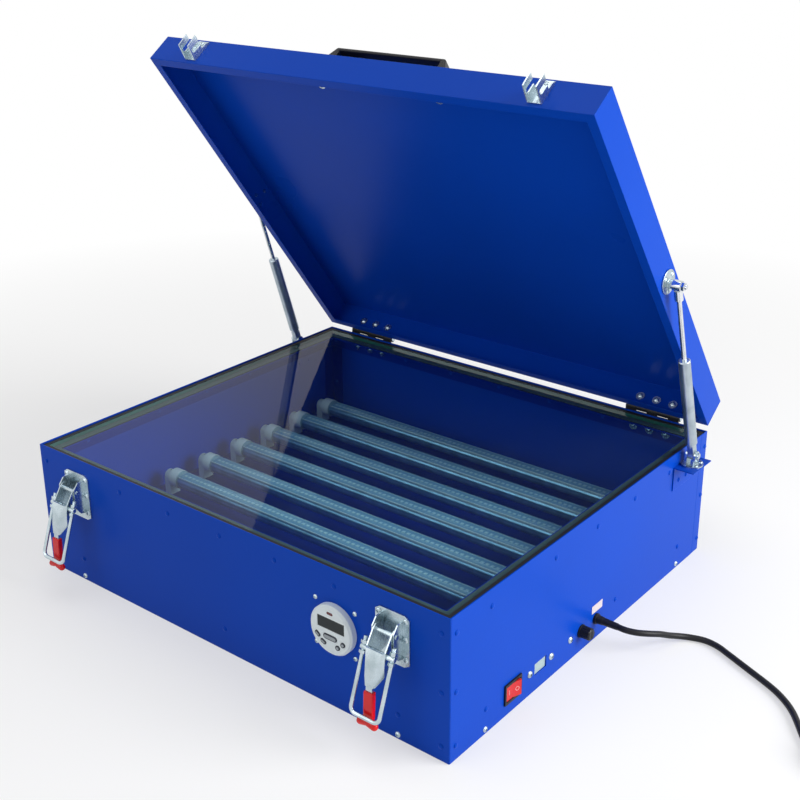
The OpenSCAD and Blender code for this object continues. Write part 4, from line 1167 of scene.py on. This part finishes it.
@dataclass
class ToggleLatch:
    """One toggle latch: lever, dipped grip and wire loop with its nuts.

    The loop hangs from its pivot along -Z. Its legs stand one leg from the middle,
    their threads reach past the pivot, and its lower corners are arcs. A nut is
    given as radius and height.
    """

    side: str
    lean: float = math.radians(19.8)
    leg: float = 0.019
    wire: float = 0.0024
    length: float = 0.070
    corner: float = 0.007
    corner_steps: int = 8
    past: float = 0.012
    thread: float = 0.0008
    thread_points: int = 100
    ripple: tuple[float, ...] = (0.0, 0.0001, 0.0003, 0.0001)
    nut: tuple[float, float] = (0.0042, 0.0036)
    nut_z: float = 0.0054
    bar_radius: float = 0.003
    bar_past: float = 0.0034
    skin: float = 0.0006

    def build(self) -> None:
        """Builds the loop and the grip and dresses the lever."""
        soften(f"latch_handle_{self.side}", Finish.ZINC, bevel=0.0003)
        self.grip()
        self.loop()

    def place(self) -> Matrix:
        """Where the loop's pivot stands, with -Z along the loop's legs."""
        spot = pivot_of(f"latch_loop_swing_{self.side}")
        return Matrix.Translation(spot) @ Matrix.Rotation(-self.lean, 4, "X")

    def outline(self) -> list[Vector]:
        """The loop's centreline from one threaded end to the other."""
        step = self.thread / len(self.ripple)
        half = [Vector((self.leg, 0, self.past - i * step)) for i in range(self.thread_points)]
        half.append(Vector((self.leg, 0, -self.length / 2)))
        for i in range(self.corner_steps + 1):
            angle = i * QUARTER_TURN / self.corner_steps
            half.append(Vector((
                self.leg - self.corner + self.corner * math.cos(angle),
                0,
                self.corner - self.length - self.corner * math.sin(angle),
            )))
        other = [Vector((-p.x, p.y, p.z)) for p in reversed(half)]
        return half + other

    def radius(self, from_end: int) -> float:
        """The rod's radius, rippled where it is threaded.

        Args:
            from_end: The point's number, counted from the nearer end.

        Returns:
            The radius.
        """
        if from_end >= self.thread_points:
            return self.wire
        return self.wire - self.ripple[from_end % len(self.ripple)]

    def loop(self) -> None:
        """Builds the bent rod, its threads, the nuts and the cross bar."""
        node = f"latch_loop_{self.side}"
        form = Form(f"{node}_wire")
        path = self.outline()
        radii = [self.radius(min(i, len(path) - 1 - i)) for i in range(len(path))]
        form.tube(path, radii, Finish.ZINC)
        nut_radius, nut_height = self.nut
        for leg in (-self.leg, self.leg):
            for middle in (-self.nut_z, self.nut_z):
                start = (leg, 0, middle - nut_height / 2)
                end = (leg, 0, middle + nut_height / 2)
                form.bar(start, end, nut_radius, Finish.ZINC, segments=6, bevel=0.0004)
        reach = self.leg + self.bar_past
        start, end = (-reach, 0, 0), (reach, 0, 0)
        form.bar(start, end, self.bar_radius, Finish.ZINC, segments=32, bevel=0.0006)
        form.move(0, self.place())
        form.finish_piece(body_of(node), [node])

    def grip(self) -> None:
        """Builds the dipped grip as one soft skin over the lever's end."""
        node = f"latch_grip_{self.side}"
        form = Form(f"{node}_skin")
        form.copy_of(node, Finish.VINYL)
        piece = form.finish_piece(body_of(node), [node])
        remesh = piece.modifiers.new("skin", "REMESH")
        remesh.mode = "VOXEL"
        remesh.voxel_size = self.skin
        remesh.use_smooth_shade = True
        soft = piece.modifiers.new("soft", "SMOOTH")
        soft.factor = 0.5
        soft.iterations = 8


@dataclass
class Studio:
    """Pale floor, soft lamps and a white surround.

    The floor shows half of its shading up to plain metres from the middle, and
    nothing but white from faded metres on.
    """

    ambient: float = 0.32
    plain: float = 0.7
    faded: float = 1.7
    floor_z: float = -0.0005
    floor_radius: float = 14.0

    def build(self) -> None:
        """Makes the floor, the world and the lamps."""
        self.world()
        self.floor()
        self.lamp("right_softbox", (2.4, 0.7, 1.3), (0.3, 0.0, 0.2), size=1.6, watts=78.0)
        self.lamp("top_softbox", (-0.3, -0.4, 2.6), (0.0, 0.0, 0.1), size=1.8, watts=18.0)
        self.lamp("front_softbox", (-0.9, -2.4, 1.3), (0.0, 0.0, 0.1), size=1.5, watts=10.0)
        bpy.context.scene.view_settings.view_transform = "Standard"

    def world(self) -> None:
        """White to the camera, gloss and glass; a plain grey light to the rest."""
        world = bpy.data.worlds.new("surround")
        world.use_nodes = True
        tree = world.node_tree
        tree.nodes.clear()
        path = tree.nodes.new("ShaderNodeLightPath")
        seen = path.outputs["Is Camera Ray"]
        for name in MIRRORED_RAYS:
            both = tree.nodes.new("ShaderNodeMath")
            both.operation = "MAXIMUM"
            tree.links.new(seen, both.inputs[0])
            tree.links.new(path.outputs[name], both.inputs[1])
            seen = both.outputs[0]
        strength = tree.nodes.new("ShaderNodeMapRange")
        strength.inputs["To Min"].default_value = self.ambient
        strength.inputs["To Max"].default_value = 1.0
        tree.links.new(seen, strength.inputs["Value"])
        sky = tree.nodes.new("ShaderNodeBackground")
        sky.inputs["Color"].default_value = (*PURE_WHITE, 1.0)
        tree.links.new(strength.outputs["Result"], sky.inputs["Strength"])
        out = tree.nodes.new("ShaderNodeOutputWorld")
        tree.links.new(sky.outputs[0], out.inputs[0])
        bpy.context.scene.world = world

    def floor(self) -> None:
        """A wide pale floor that shows white and keeps the shadow."""
        bm = bmesh.new()
        place = Matrix.Translation((0, 0, self.floor_z))
        bmesh.ops.create_circle(
            bm, cap_ends=True, segments=64, radius=self.floor_radius, matrix=place
        )
        mesh = bpy.data.meshes.new("floor")
        bm.to_mesh(mesh)
        bm.free()
        mesh.materials.append(self.floor_material())
        put("floor", mesh)

    def floor_material(self) -> bpy.types.Material:
        """Returns a pale matt surface that glows to the camera, more with the distance."""
        kit = Shader("studio_floor")
        grain = kit.noise(scale=3.0, detail=2.0)
        kit.set(
            Base_Color=kit.blend(grain, (0.88, 0.88, 0.88), (0.90, 0.90, 0.90)),
            Roughness=0.8,
            Specular_IOR_Level=0.1,
        )
        glow = kit.add("ShaderNodeEmission", None, {"Color": PURE_WHITE, "Strength": 1.0})
        away = kit.add("ShaderNodeVectorMath", {"operation": "LENGTH"}, {0: kit.place()}, "Value")
        fade = ((away - self.plain) * (1.0 / (self.faded - self.plain))).held()
        seen = kit.add("ShaderNodeLightPath", out="Is Camera Ray")
        for name in MIRRORED_RAYS:
            seen = seen + kit.add("ShaderNodeLightPath", out=name)
        kit.show(kit.mix(seen.held() * (fade * 0.5 + 0.5), kit.principled, glow))
        return kit.material

    def lamp(self, name: str, place: Point, aim: Point, size: float, watts: float) -> None:
        """Adds one square softbox.

        Args:
            name: Its name.
            place: Where it hangs.
            aim: The point it faces.
            size: The length of its side.
            watts: Its power.
        """
        data = bpy.data.lights.new(name, "AREA")
        data.shape = "SQUARE"
        data.size = size
        data.energy = watts
        way = Vector(aim) - Vector(place)
        turn = way.to_track_quat("-Z", "Y").to_matrix().to_4x4()
        put(name, data).matrix_world = Matrix.Translation(place) @ turn


def main() -> None:
    """Builds the whole unit, then its studio."""
    logging.basicConfig(level=logging.INFO, format="%(message)s")
    View().build()
    MainsLead().build()
    CaseBox().build()
    GlassTop().build()
    LampBed().build()
    TimerUnit().build()
    SideFittings().build()
    LidPan().build()
    GasStruts().build()
    soften("latch_bases", Finish.ZINC, bevel=0.0003)
    for side in SIDES:
        ToggleLatch(side).build()
    Studio().build()


if __name__ == "__main__":
    main()
